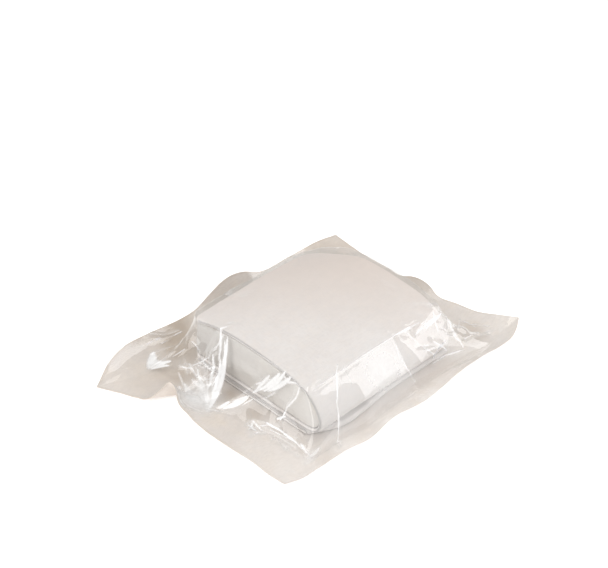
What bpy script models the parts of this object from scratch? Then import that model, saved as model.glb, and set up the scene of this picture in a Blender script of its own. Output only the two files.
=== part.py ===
"""Hemostatic dressing: a folded absorbent pad sealed in a clear peel pouch.

The pad lies on the X-Y plane: +X runs along the pouch's long side, +Y across
it, +Z up, and the origin is under the middle of the pad on the surface that
the pouch rests on. From below, the pieces are the pouch's paper back, the
dressing's folded tail, its outer wrap round an absorbent core, and the clear
film that is sealed to the paper all round. Units are metres.
"""
import bmesh
import bpy
import numpy as np

# Pad, as it lies folded
PAD_LENGTH = 0.120          # along X
PAD_WIDTH = 0.118           # along Y, out to the nose of the front fold
PAD_THICKNESS = 0.0350      # wrapped core, tail not counted, at the crown of the ends
CROWN_RISE = 0.0012         # how much higher the middle of the length is
END_LEAN = 0.0030           # how far the foot of the left end reaches past its top
BACK_CORNER_DROOP = 0.0060  # sag of the soft back right corner
CORNER_RADIUS = 0.0055      # plan radius of the two crisp corners
CUT_RADIUS = 0.0010         # plan radius where the wrap's cut edge meets its front nose
BACK_CORNER_RADIUS = 0.0240

# Plies
WRAP_PLY = 0.0026
TAIL_PLY = 0.0018
TAIL_SLIT = 0.0008          # air between the two plies of the folded tail
TAIL_WANDER = 0.010         # unit for how far the tail's fold lies back from the nose
CORE_RECESS = 0.0012        # core's end face, back from the wrap's cut edge
CORE_BULGE = 0.0009         # pillow of the core's end faces
CLEARANCE = 0.0003          # air between pieces that lie on each other
CORE_EASE = 0.0008          # air between the core and the wrap round it

# Pouch
FILM = 0.0003
PAPER = 0.0004
FILM_EASE = 0.0010          # film's distance from the pad's top
SIDE_EASE = 0.0020          # film's distance from the pad's sides
FRONT_CORNER_RADIUS = 0.0015  # plan radius of the top's two front corners
FLANGE_LEFT = 0.044
FLANGE_RIGHT = 0.041
FLANGE_FRONT = 0.010
FLANGE_BACK = 0.028
EDGE_WANDER = 0.010         # unit for how far the cut edge strays from straight
EDGE_LIFT = 0.010           # unit for how high the edge curls
FOLD_HEIGHT = 0.0030        # unit for the height of the film's folds
FOLD_REACH = 0.0080         # unit for the half width of the film's folds

# Mesh
SHEET_CELLS = 32            # cells across the pouch, half of them over the pad
PAD_CELLS = 10              # cells along the pad
SHOULDER = 0.762            # share of the half width where the front shoulder starts
FLANGE_RINGS = 0.375        # share of the sheet's outer cells that lie on the flange

HALF_LENGTH = PAD_LENGTH / 2
HALF_WIDTH = PAD_WIDTH / 2
TAIL_FLOOR = PAPER + CLEARANCE
TAIL_HEIGHT = 2 * TAIL_PLY + TAIL_SLIT
WRAP_FLOOR = TAIL_FLOOR + TAIL_HEIGHT + CLEARANCE

# Wrapped pad seen on its left end, from the cut edge of the bottom ply round
# the front nose to the cut edge of the top ply: share of the half width, share
# of the thickness.
SECTION = (
    (0.97, 0.00), (0.45, 0.00), (-0.20, 0.00), (-0.62, 0.00), (-0.83, 0.01),
    (-0.93, 0.06), (-0.985, 0.17), (-1.00, 0.32), (-0.95, 0.51), (-0.86, 0.68),
    (-0.76, 0.80), (-0.63, 0.875), (-0.48, 0.925), (-0.23, 0.968), (0.02, 0.994),
    (0.27, 1.00), (0.51, 0.98), (0.75, 0.925), (1.00, 0.83),
)
NOSE_ROWS = (4, 9)          # rows of the section between which the front fold turns

# Fold of the tail along the pad: share of the half length, how far the fold lies
# back from the wrap's nose in TAIL_WANDER.
TAIL_FOLD = (
    (-1.00, 1.20), (-0.91, 0.85), (-0.74, 0.32), (-0.51, 0.05), (-0.26, 0.16),
    (0.00, 0.34), (0.50, 0.36), (1.00, 0.30),
)

# Pouch corners: share of the flange beside the pad's end, and of the flange
# before or behind it.
CORNERS = {
    "front_left": (-1.00, -1.00),
    "front_right": (1.38, -1.00),
    "back_right": (1.00, 1.00),
    "back_left": (-1.52, 0.75),
}

# Each side of the pouch from corner to corner. Columns: share of the side's
# length, inset of the cut edge in EDGE_WANDER, curl in EDGE_LIFT, where the film
# leaves the paper as a share of the way from pad to edge, and how closely the
# film keeps to the pad's side (1 is square, 0 a slack tent).
SIDES = {
    "front": (
        (0.00, 0.00, 0.05, 0.32, 0.68), (0.06, -0.40, 0.05, 0.36, 0.74),
        (0.12, -0.42, 0.05, 0.38, 0.76), (0.22, -0.55, 0.10, 0.38, 0.76),
        (0.30, -0.80, 0.05, 0.42, 0.75), (0.41, -0.55, 0.10, 0.36, 0.75),
        (0.55, -0.85, 0.10, 0.36, 0.75), (0.62, -0.78, 0.15, 0.36, 0.75),
        (0.70, -0.60, 0.20, 0.40, 0.74), (0.80, -0.70, 0.30, 0.46, 0.72),
        (0.86, -0.85, 0.34, 0.52, 0.70), (0.92, -0.90, 0.50, 0.58, 0.66),
        (0.96, -0.55, 0.60, 0.62, 0.60), (1.00, 0.00, 0.60, 0.64, 0.52),
    ),
    "right": (
        (0.00, 0.00, 0.60, 0.64, 0.52), (0.10, 0.50, 0.40, 0.56, 0.40),
        (0.18, 0.90, 0.30, 0.52, 0.34), (0.26, 1.15, 0.40, 0.50, 0.32),
        (0.37, 1.35, 0.50, 0.50, 0.32), (0.42, 1.10, 0.72, 0.50, 0.32),
        (0.52, 1.00, 0.72, 0.48, 0.32), (0.57, 1.15, 0.50, 0.48, 0.32),
        (0.65, 1.05, 0.50, 0.50, 0.32), (0.77, 0.88, 0.48, 0.52, 0.34),
        (0.88, 0.50, 0.40, 0.54, 0.36), (1.00, 0.00, 0.30, 0.54, 0.38),
    ),
    "back": (
        (0.00, 0.00, 0.30, 0.54, 0.38), (0.06, -0.15, 0.50, 0.52, 0.36),
        (0.20, -0.25, 0.70, 0.50, 0.34), (0.33, -0.25, 1.00, 0.48, 0.32),
        (0.40, -0.50, 1.70, 0.46, 0.32), (0.48, -0.55, 1.80, 0.46, 0.32),
        (0.53, -0.66, 1.20, 0.46, 0.32), (0.58, -0.70, 0.70, 0.46, 0.32),
        (0.66, -0.75, 0.70, 0.48, 0.32), (0.76, -0.84, 1.00, 0.50, 0.32),
        (0.86, -0.90, 1.10, 0.50, 0.34), (0.93, -0.60, 0.85, 0.50, 0.36),
        (1.00, 0.00, 0.20, 0.50, 0.36),
    ),
    "left": (
        (0.00, 0.00, 0.20, 0.50, 0.36), (0.10, 0.58, 0.08, 0.50, 0.34),
        (0.17, 0.80, 0.10, 0.54, 0.32), (0.24, 1.08, 0.45, 0.58, 0.32),
        (0.27, 1.50, 0.95, 0.60, 0.32), (0.30, 1.95, 1.55, 0.60, 0.32),
        (0.33, 1.98, 1.20, 0.58, 0.32), (0.36, 1.62, 0.75, 0.56, 0.32),
        (0.43, 1.36, 0.28, 0.54, 0.32), (0.55, 0.95, 0.05, 0.46, 0.32),
        (0.65, 0.71, 0.05, 0.40, 0.34), (0.80, 0.47, 0.05, 0.32, 0.38),
        (0.93, 0.10, 0.05, 0.30, 0.54), (1.00, 0.00, 0.05, 0.32, 0.68),
    ),
}

# Folds of the film, each a ridge between two points. A point is a share of the
# pad's half length and half width. Columns: start x, start y, end x, end y,
# height in FOLD_HEIGHT, half width in FOLD_REACH.
FOLDS = (
    (-0.97, 0.25, -1.42, 0.06, 1.00, 0.90),
    (-1.10, 0.82, -1.50, 0.26, 0.60, 0.70),
    (-1.00, -0.78, -1.24, -1.12, 0.80, 0.90),
    (-1.02, -0.38, -1.12, -0.36, 0.50, 0.80),
    (-0.56, -0.78, -0.88, -1.10, 0.80, 0.80),
    (-0.33, -0.78, -0.44, -1.04, -0.60, 0.90),
    (0.23, -0.78, 0.36, -1.06, 0.90, 0.90),
    (0.75, -0.76, 0.80, -1.05, 0.70, 0.90),
    (1.02, 0.20, 1.40, 0.32, 0.80, 0.90),
    (0.30, 1.02, 0.10, 1.36, 0.90, 1.00),
    (-0.45, 1.02, -0.60, 1.36, 0.80, 1.00),
)


def spline(table, at):
    """Values of a table's later columns at the given values of its first.

    A cubic Hermite curve runs through the rows, with the slope at a row taken
    from its neighbours.
    """
    rows = np.array(table)
    knots, values = rows[:, 0], rows[:, 1:]
    slopes = np.gradient(values, knots, axis=0)
    at = np.clip(np.asarray(at, float), knots[0], knots[-1])
    index = np.clip(np.searchsorted(knots, at, side="right") - 1, 0, len(knots) - 2)
    width = knots[index + 1] - knots[index]
    t = ((at - knots[index]) / width)[..., None]
    width = width[..., None]
    return ((1 + 2 * t) * (1 - t) ** 2 * values[index]
            + t * (1 - t) ** 2 * width * slopes[index]
            + t ** 2 * (3 - 2 * t) * values[index + 1]
            + t ** 2 * (t - 1) * width * slopes[index + 1])


def section_shares(u):
    """Shares (across, up) of the wrapped pad's section, u from 0 to 1 along it."""
    rows = np.array(SECTION)
    return spline(np.column_stack((np.linspace(0, 1, len(rows)), rows)), u)


def plan_inset(x, radius):
    """How far a corner of the given radius draws the pad's side in at x."""
    past = np.clip(np.abs(x) - (HALF_LENGTH - radius), 0.0, radius)
    return radius - np.sqrt(radius ** 2 - past ** 2)


def pad_surface(along, across, up):
    """Point of the wrapped pad for shares along X, across Y and up its thickness."""
    x = HALF_LENGTH * along - END_LEAN * (1 - up) * (1 - along) / 2
    back_radius = np.where(along > 0, BACK_CORNER_RADIUS, CORNER_RADIUS)
    front_radius = np.where(along > 0, CORNER_RADIUS, CUT_RADIUS)
    radius = np.where(across > 0, back_radius, front_radius)
    half = HALF_WIDTH - plan_inset(HALF_LENGTH * along, radius) * np.abs(across)
    droop = BACK_CORNER_DROOP * (np.clip(along, 0, 1) * np.clip(across, 0, 1)) ** 2
    rise = CROWN_RISE * (1 - along ** 2) - droop
    z = WRAP_FLOOR + up * (PAD_THICKNESS + rise)
    return np.stack(np.broadcast_arrays(x, half * across, z), axis=-1)


def pad_section(along, u, depth=0.0):
    """Point of the section u, moved into the pad by a depth, square to its line."""
    nudge = 0.01
    here = section_shares(u)
    before = section_shares(np.clip(u - nudge, 0, 1))
    after = section_shares(np.clip(u + nudge, 0, 1))
    point = pad_surface(along, here[..., 0], here[..., 1])
    run = (pad_surface(along, after[..., 0], after[..., 1])
           - pad_surface(along, before[..., 0], before[..., 1]))
    run = run / np.hypot(run[..., 1], run[..., 2])[..., None]
    point[..., 1] -= depth * -run[..., 2]
    point[..., 2] -= depth * run[..., 1]
    return point


def pad_top(x, y):
    """Height of the pad's top at a place in plan, held level past its edges."""
    rows = np.array(SECTION[NOSE_ROWS[1]:])
    across = np.clip(y / HALF_WIDTH, rows[0, 0], rows[-1, 0])
    up = spline(rows, across)[..., 0]
    return pad_surface(np.clip(x / HALF_LENGTH, -1, 1), across, up)[..., 2]


def round_corners(x, y, low, high, radii):
    """Points on a rectangle's rim, drawn in where its corners are rounded.

    The radii are for the front left, front right, back right and back left.
    """
    signs = ((-1, -1), (1, -1), (1, 1), (-1, 1))
    for (sx, sy), radius in zip(signs, radii):
        cx = (high[0] if sx > 0 else low[0]) - sx * radius
        cy = (high[1] if sy > 0 else low[1]) - sy * radius
        dx, dy = (x - cx) * sx, (y - cy) * sy
        inside = (dx > 0) & (dy > 0)
        shrink = np.where(inside, radius / np.maximum(np.hypot(dx, dy), 1e-9), 1.0)
        reach = np.maximum(dx, dy) / radius
        shrink = np.where(inside, shrink * reach, 1.0)
        x = cx + sx * dx * shrink
        y = cy + sy * dy * shrink
    return x, y


def rim(p, q, ease, front_share, front_radii):
    """Plan of a ring round the pad for the square's rim point (p, q)."""
    low = (-HALF_LENGTH - ease, -HALF_WIDTH * front_share - ease)
    high = (HALF_LENGTH + ease, HALF_WIDTH + ease)
    x = low[0] + (high[0] - low[0]) * (p + 1) / 2
    y = low[1] + (high[1] - low[1]) * (q + 1) / 2
    radii = (*front_radii, BACK_CORNER_RADIUS, CORNER_RADIUS)
    return round_corners(x, y, low, high, [radius + ease for radius in radii])


def corner_point(name):
    """Plan of one corner of the pouch."""
    reach_x, reach_y = CORNERS[name]
    flange_x = FLANGE_RIGHT if reach_x > 0 else FLANGE_LEFT
    flange_y = FLANGE_BACK if reach_y > 0 else FLANGE_FRONT
    return np.array((np.sign(reach_x) * HALF_LENGTH + reach_x * flange_x,
                     np.sign(reach_y) * HALF_WIDTH + reach_y * flange_y))


def pouch_edge(p, q):
    """Outline plan, curl height, foot share and hug for the rim point (p, q)."""
    corners = [corner_point(name) for name in CORNERS]
    sides = (("front", q, -1, (p + 1) / 2), ("right", p, 1, (q + 1) / 2),
             ("back", q, 1, (1 - p) / 2), ("left", p, -1, (1 - q) / 2))
    result = np.zeros(p.shape + (5,))
    for index, (name, rim_value, sign, share) in enumerate(sides):
        start, end = corners[index], corners[(index + 1) % 4]
        inward = np.array((start[1] - end[1], end[0] - start[0]))
        inward = inward / np.linalg.norm(inward)
        inset, curl, foot, hug = np.moveaxis(spline(SIDES[name], share), -1, 0)
        plan = start + (end - start) * share[..., None] + inward * (inset * EDGE_WANDER)[..., None]
        values = np.concatenate((plan, np.stack((curl * EDGE_LIFT, foot, hug), -1)), -1)
        on_side = np.isclose(rim_value, sign)[..., None]
        result = np.where(on_side, values, result)
    return result


def sheet_rings(p, q):
    """Split the unit square into its rim point and its depth towards the middle."""
    ring = np.maximum(np.abs(p), np.abs(q))
    safe = np.maximum(ring, 1e-9)
    return p / safe, q / safe, ring


def fold_height(x, y):
    """Ridges of the film at a place in plan."""
    total = np.zeros_like(x)
    for x0, y0, x1, y1, height, width in FOLDS:
        start = np.array((x0 * HALF_LENGTH, y0 * HALF_WIDTH))
        run = np.array((x1 * HALF_LENGTH, y1 * HALF_WIDTH)) - start
        length = np.hypot(*run)
        along = ((x - start[0]) * run[0] + (y - start[1]) * run[1]) / length ** 2
        aside = np.abs((x - start[0]) * run[1] - (y - start[1]) * run[0]) / length
        ridge = np.clip(1 - aside / (width * FOLD_REACH), 0, 1)
        fade = np.clip(np.minimum(along + 0.15, 1.2 - along) * 4, 0, 1)
        total += height * FOLD_HEIGHT * ridge * fade
    return total


def pouch_sheets(p, q):
    """Upper face of the paper and inner face of the film over the unit square.

    The outer half of the square is the flange and the film's tent, and the
    inner half lies over the pad's top.
    """
    rim_p, rim_q, ring = sheet_rings(p, q)
    edge = pouch_edge(rim_p, rim_q)
    outline, curl, foot, hug = edge[..., :2], edge[..., 2], edge[..., 3], edge[..., 4]
    top = np.stack(rim(rim_p, rim_q, FILM_EASE, SHOULDER, [FRONT_CORNER_RADIUS] * 2), -1)
    side = np.stack(rim(rim_p, rim_q, SIDE_EASE, 1.0, (CUT_RADIUS, CORNER_RADIUS)), -1)
    side[..., 0] -= END_LEAN * (rim_p < 0) * np.abs(rim_p)
    landing = side + (outline - side) * foot[..., None]

    band = np.clip((1 - ring) / 0.5, 0, 1)
    flange = np.clip(band / FLANGE_RINGS, 0, 1)
    tent = np.clip((band - FLANGE_RINGS) / (1 - FLANGE_RINGS), 0, 1)

    base = curl * (1 - flange) ** 1.6
    plan = outline + (landing - outline) * flange[..., None]
    foot_ring = 1 - FLANGE_RINGS / 2
    under_pad = landing * (ring / foot_ring)[..., None]
    paper_plan = np.where((ring < foot_ring)[..., None], under_pad, plan)
    paper = np.concatenate((paper_plan, (PAPER + base)[..., None]), -1)

    seat = PAPER + CLEARANCE
    top_z = pad_top(top[..., 0], top[..., 1]) + FILM_EASE
    foot_point = np.concatenate((landing, np.full(p.shape + (1,), seat)), -1)
    top_point = np.concatenate((top, top_z[..., None]), -1)
    guide = np.concatenate((side, (top_z * hug)[..., None]), -1)
    w = tent[..., None]
    film = foot_point * (1 - w) ** 2 + guide * 2 * w * (1 - w) + top_point * w ** 2
    film = np.where((band <= FLANGE_RINGS)[..., None],
                    np.concatenate((plan, (seat + base)[..., None]), -1), film)

    inner = ring < 0.5
    over = top * (ring / 0.5)[..., None]
    over_z = pad_top(over[..., 0], over[..., 1]) + FILM_EASE
    film = np.where(inner[..., None], np.concatenate((over, over_z[..., None]), -1), film)

    normal = np.cross(np.gradient(film, axis=1), np.gradient(film, axis=0))
    normal /= np.linalg.norm(normal, axis=-1)[..., None]
    lift = fold_height(film[..., 0], film[..., 1])
    lift = lift * np.clip(tent * 3, 0, 1) * np.clip((1 - tent) * 3, 0, 1) * ~inner
    film = film + normal * np.maximum(lift, -FILM_EASE / 2)[..., None]
    return paper, film


def make_material(name, color, roughness, alpha=1.0):
    """Principled material in a flat colour."""
    material = bpy.data.materials.new(name)
    material.use_nodes = True
    shader = material.node_tree.nodes["Principled BSDF"]
    shader.inputs["Base Color"].default_value = (*color, 1.0)
    shader.inputs["Roughness"].default_value = roughness
    shader.inputs["Metallic"].default_value = 0.0
    shader.inputs["Alpha"].default_value = alpha
    return material


def add_object(name, mesh, material, collection):
    """Object with smooth faces and its material, in the dressing's collection."""
    mesh.materials.append(material)
    mesh.shade_smooth()
    mesh.set_sharp_from_angle(angle=np.radians(40))
    obj = bpy.data.objects.new(name, mesh)
    collection.objects.link(obj)
    return obj


def grid_mesh(name, columns, rows, shape):
    """Grid primitive whose unit square is carried to a surface by shape(p, q)."""
    bm = bmesh.new()
    bmesh.ops.create_grid(bm, x_segments=columns, y_segments=rows, size=1.0)
    bm.verts.ensure_lookup_table()
    flat = np.array([vert.co[:2] for vert in bm.verts]).reshape(rows + 1, columns + 1, 2)
    places = shape(flat[..., 0], flat[..., 1]).reshape(-1, 3)
    for vert, place in zip(bm.verts, places):
        vert.co = place
    mesh = bpy.data.meshes.new(name)
    bm.to_mesh(mesh)
    bm.free()
    return mesh


def thicken(obj, thickness, outward, even=True):
    """Solidify an open sheet to one side."""
    solidify = obj.modifiers.new("ply", "SOLIDIFY")
    solidify.thickness = thickness
    solidify.offset = 1.0 if outward else -1.0
    solidify.use_even_offset = even
    return obj


def add_paper(collection):
    """Paper back of the pouch, flat under the pad with its cut edge curling."""
    mesh = grid_mesh("backing_paper", SHEET_CELLS, SHEET_CELLS,
                     lambda p, q: pouch_sheets(p, q)[0])
    paper = add_object("backing_paper", mesh, make_material("medical_paper", (0.80, 0.73, 0.66), 0.75),
                       collection)
    return thicken(paper, PAPER, outward=False, even=False)


def add_film(collection):
    """Clear film, drawn over the pad and down to the sealed flange."""
    mesh = grid_mesh("clear_film", SHEET_CELLS, SHEET_CELLS,
                     lambda p, q: pouch_sheets(p, q)[1])
    film = add_object("clear_film", mesh, make_material("clear_film", (0.95, 0.96, 0.97), 0.12, 0.25),
                      collection)
    return thicken(film, FILM, outward=True, even=False)


def crowd_ends(p):
    """Shares of the half length, closer together towards the pad's ends."""
    return np.sin(p * np.pi / 2) * 0.75 + p * 0.25


def add_wrap(collection):
    """Outer wrap: one ply under the core, round the front nose and over the top."""
    mesh = grid_mesh("outer_wrap", PAD_CELLS, 27,
                     lambda p, q: pad_section(crowd_ends(p), (q + 1) / 2))
    wrap = add_object("outer_wrap", mesh, make_material("nonwoven", (0.86, 0.83, 0.82), 0.9),
                      collection)
    return thicken(wrap, WRAP_PLY, outward=False)


def core_cross_section(s, t, along, depth):
    """Coons patch inside the wrap: s from the front nose to the back, t from below."""
    nose_low, nose_high = np.array(NOSE_ROWS) / (len(SECTION) - 1)

    def inside(u):
        return pad_section(along, u, depth)

    bottom = inside(nose_low * (1 - s))
    top = inside(nose_high + (1 - nose_high) * s)
    front = inside(nose_low + (nose_high - nose_low) * t)
    low_back, high_back = inside(np.zeros_like(t)), inside(np.ones_like(t))
    back = low_back + (high_back - low_back) * t[..., None]
    low_front, high_front = inside(np.full_like(t, nose_low)), inside(np.full_like(t, nose_high))
    s, t = s[..., None], t[..., None]
    return ((1 - t) * bottom + t * top + (1 - s) * front + s * back
            - (1 - s) * (1 - t) * low_front - s * (1 - t) * low_back
            - (1 - s) * t * high_front - s * t * high_back)


def add_core(collection):
    """Absorbent core: a soft block that fills the wrap and shows at its ends."""
    bm = bmesh.new()
    bmesh.ops.create_cube(bm, size=2.0)
    bmesh.ops.subdivide_edges(bm, edges=bm.edges[:], cuts=PAD_CELLS - 1, use_grid_fill=True)
    cube = np.array([vert.co[:] for vert in bm.verts])
    along, s, t = crowd_ends(cube[:, 0]), (cube[:, 1] + 1) / 2, (cube[:, 2] + 1) / 2
    places = core_cross_section(s, t, along, WRAP_PLY + CORE_EASE)
    pillow = (1 - cube[:, 1] ** 2) * (1 - cube[:, 2] ** 2)
    places[:, 0] *= 1 - CORE_RECESS / HALF_LENGTH
    places[:, 0] += CORE_BULGE * cube[:, 0] ** 5 * pillow
    for vert, place in zip(bm.verts, places):
        vert.co = place
    mesh = bpy.data.meshes.new("absorbent_core")
    bm.to_mesh(mesh)
    bm.free()
    return add_object("absorbent_core", mesh, make_material("core_fluff", (0.84, 0.84, 0.80), 0.95),
                      collection)


def add_tail(collection):
    """Folded tail under the wrap: two plies whose fold shows along the front."""
    half_height = TAIL_HEIGHT / 2

    def shape(p, q):
        turn = 0.30
        flat = np.clip((np.abs(q) - turn) / (1 - turn), 0, 1)
        angle = np.clip(q / turn, -1, 1) * np.pi / 2
        p = crowd_ends(p)
        fold = -HALF_WIDTH + spline(TAIL_FOLD, p)[..., 0] * TAIL_WANDER + half_height
        back = HALF_WIDTH - 2 * WRAP_PLY
        x = HALF_LENGTH * p - END_LEAN * (1 - p) / 2
        y = fold - half_height * np.cos(angle) + (back - fold) * flat
        z = TAIL_FLOOR + half_height + half_height * np.sin(angle)
        return np.stack(np.broadcast_arrays(x, y, z), axis=-1)

    mesh = grid_mesh("folded_tail", 16, 20, shape)
    tail = add_object("folded_tail", mesh, make_material("nonwoven_tail", (0.83, 0.81, 0.80), 0.9),
                      collection)
    return thicken(tail, TAIL_PLY, outward=False)


def main():
    """Clear the scene and build the dressing in its pouch."""
    for obj in list(bpy.data.objects):
        bpy.data.objects.remove(obj, do_unlink=True)
    collection = bpy.data.collections.new("hemostatic_dressing")
    bpy.context.scene.collection.children.link(collection)
    add_paper(collection)
    add_tail(collection)
    add_wrap(collection)
    add_core(collection)
    add_film(collection)


main()
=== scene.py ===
"""Looks of a hemostatic dressing that is sealed in a clear peel pouch.

Each piece is a surface worked out with numpy from two parameters. The pouch's
paper and film share one square of parameters: its rim is the cut edge, its
inner half lies over the pad's top, and the ring between them is the sealed
flange and the tent of film that stands round the pad.
"""

import bpy
import numpy as np
from bpy.props import FloatProperty, FloatVectorProperty, IntProperty, PointerProperty
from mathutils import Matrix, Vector, geometry


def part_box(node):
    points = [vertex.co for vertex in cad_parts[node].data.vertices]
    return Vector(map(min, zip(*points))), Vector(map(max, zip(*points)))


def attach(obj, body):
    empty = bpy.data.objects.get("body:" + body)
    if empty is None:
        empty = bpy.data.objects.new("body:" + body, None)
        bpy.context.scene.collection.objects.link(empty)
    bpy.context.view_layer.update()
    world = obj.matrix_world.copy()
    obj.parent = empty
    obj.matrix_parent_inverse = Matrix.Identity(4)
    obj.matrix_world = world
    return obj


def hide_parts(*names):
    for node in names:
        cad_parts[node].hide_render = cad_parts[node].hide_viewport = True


bl_info = {
    "name": "Hemostatic Dressing",
    "version": (1, 0, 0),
    "blender": (4, 5, 0),
    "location": "View3D > Sidebar > Dressing",
    "description": "Builds a folded hemostatic dressing in its clear peel pouch",
    "category": "Add Mesh",
}

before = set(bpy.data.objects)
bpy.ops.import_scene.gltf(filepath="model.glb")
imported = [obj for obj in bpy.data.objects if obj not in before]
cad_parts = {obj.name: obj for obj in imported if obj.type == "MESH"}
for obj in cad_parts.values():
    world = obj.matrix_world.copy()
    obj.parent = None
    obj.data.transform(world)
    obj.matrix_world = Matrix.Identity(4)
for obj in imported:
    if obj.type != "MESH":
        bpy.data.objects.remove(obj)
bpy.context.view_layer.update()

# Pad's section seen on its left end, from the cut edge of the bottom ply round
# the front nose to the cut edge of the top ply: share of the half width, share
# of the thickness.
SECTION = (
    (0.97, 0.00), (0.45, 0.00), (-0.20, 0.00), (-0.62, 0.00), (-0.83, 0.01),
    (-0.93, 0.06), (-0.985, 0.17), (-1.00, 0.32), (-0.95, 0.51), (-0.86, 0.68),
    (-0.76, 0.80), (-0.63, 0.875), (-0.48, 0.925), (-0.23, 0.968), (0.02, 0.994),
    (0.27, 1.00), (0.51, 0.98), (0.75, 0.925), (1.00, 0.83),
)
NOSE_ROWS = (4, 9)
SHOULDER = 0.762        # share of the half width where the front shoulder starts
FLANGE_SHARE = 0.375    # share of the sheet's outer band that lies on the flange
TOP_CORNER = 0.0015     # plan radius of the film's two front corners over the pad's top
TURN_MM = 122.0         # length of one turn along the film, a side of the pad
CLIMB_MM = 45.0         # length of a climb along the film, from its foot to the top edge

# The photo, and the pinhole camera that was fitted to it.
PHOTO_SIZE = (608, 568)
VIEW_ANGLES = (-45.05, 37.27)   # azimuth and elevation in degrees
VIEW_TARGET = (0.04728, 0.06529, 0.0)
VIEW_DISTANCE = 1.30
LENS = 111.32                   # focal length in millimetres
SENSOR_WIDTH = 36.0

# Fold of the tail along the pad: share of the half length, how far the fold lies
# back from the wrap's nose in centimetres.
TAIL_FOLD = (
    (-1.00, 1.20), (-0.91, 0.85), (-0.74, 0.32), (-0.51, 0.05), (-0.26, 0.16),
    (0.00, 0.34), (0.50, 0.36), (1.00, 0.30),
)

# Pouch corners: share of the flange beside the pad's end, and of the flange
# before or behind it.
CORNERS = {
    "front_left": (-1.00, -1.00),
    "front_right": (1.38, -1.00),
    "back_right": (1.00, 1.00),
    "back_left": (-1.52, 0.75),
}

# Each side of the pouch from corner to corner. Columns: share of the side's
# length, inset of the cut edge in edge_wander, curl in edge_lift, where the film
# leaves the paper as a share of the way from pad to edge, and how closely the
# film keeps to the pad's side.
SIDES = {
    "front": (
        (0.00, 0.00, 0.05, 0.32, 0.68), (0.06, -0.40, 0.05, 0.36, 0.74),
        (0.12, -0.42, 0.05, 0.38, 0.76), (0.22, -0.55, 0.10, 0.38, 0.76),
        (0.30, -0.80, 0.05, 0.42, 0.75), (0.41, -0.55, 0.10, 0.36, 0.75),
        (0.55, -0.85, 0.10, 0.36, 0.75), (0.62, -0.78, 0.15, 0.36, 0.75),
        (0.70, -0.60, 0.20, 0.40, 0.74), (0.80, -0.70, 0.30, 0.46, 0.72),
        (0.86, -0.85, 0.34, 0.52, 0.70), (0.92, -0.90, 0.50, 0.58, 0.66),
        (0.96, -0.55, 0.60, 0.62, 0.60), (1.00, 0.00, 0.60, 0.64, 0.52),
    ),
    "right": (
        (0.00, 0.00, 0.60, 0.64, 0.52), (0.10, 0.50, 0.40, 0.56, 0.40),
        (0.18, 0.90, 0.30, 0.52, 0.34), (0.26, 1.15, 0.40, 0.50, 0.32),
        (0.37, 1.35, 0.50, 0.50, 0.32), (0.42, 1.10, 0.72, 0.50, 0.32),
        (0.52, 1.00, 0.72, 0.48, 0.32), (0.57, 1.15, 0.50, 0.48, 0.32),
        (0.65, 1.05, 0.50, 0.50, 0.32), (0.77, 0.88, 0.48, 0.52, 0.34),
        (0.88, 0.50, 0.40, 0.54, 0.36), (1.00, 0.00, 0.30, 0.54, 0.38),
    ),
    "back": (
        (0.00, 0.00, 0.30, 0.54, 0.38), (0.06, -0.15, 0.50, 0.52, 0.36),
        (0.20, -0.25, 0.70, 0.50, 0.34), (0.33, -0.25, 1.00, 0.48, 0.32),
        (0.40, -0.50, 1.70, 0.46, 0.32), (0.48, -0.55, 1.80, 0.46, 0.32),
        (0.53, -0.66, 1.20, 0.46, 0.32), (0.58, -0.70, 0.70, 0.46, 0.32),
        (0.66, -0.75, 0.70, 0.48, 0.32), (0.76, -0.84, 1.00, 0.50, 0.32),
        (0.86, -0.90, 1.10, 0.50, 0.34), (0.93, -0.60, 0.85, 0.50, 0.36),
        (1.00, 0.00, 0.20, 0.50, 0.36),
    ),
    "left": (
        (0.00, 0.00, 0.20, 0.50, 0.36), (0.10, 0.58, 0.08, 0.50, 0.34),
        (0.17, 0.80, 0.10, 0.54, 0.32), (0.24, 1.08, 0.45, 0.58, 0.32),
        (0.27, 1.50, 0.95, 0.60, 0.32), (0.30, 1.95, 1.55, 0.60, 0.32),
        (0.33, 1.98, 1.20, 0.58, 0.32), (0.36, 1.62, 0.75, 0.56, 0.32),
        (0.43, 1.36, 0.28, 0.54, 0.32), (0.55, 0.95, 0.05, 0.46, 0.32),
        (0.65, 0.71, 0.05, 0.40, 0.34), (0.80, 0.47, 0.05, 0.32, 0.38),
        (0.93, 0.10, 0.05, 0.30, 0.54), (1.00, 0.00, 0.05, 0.32, 0.68),
    ),
}

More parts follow.
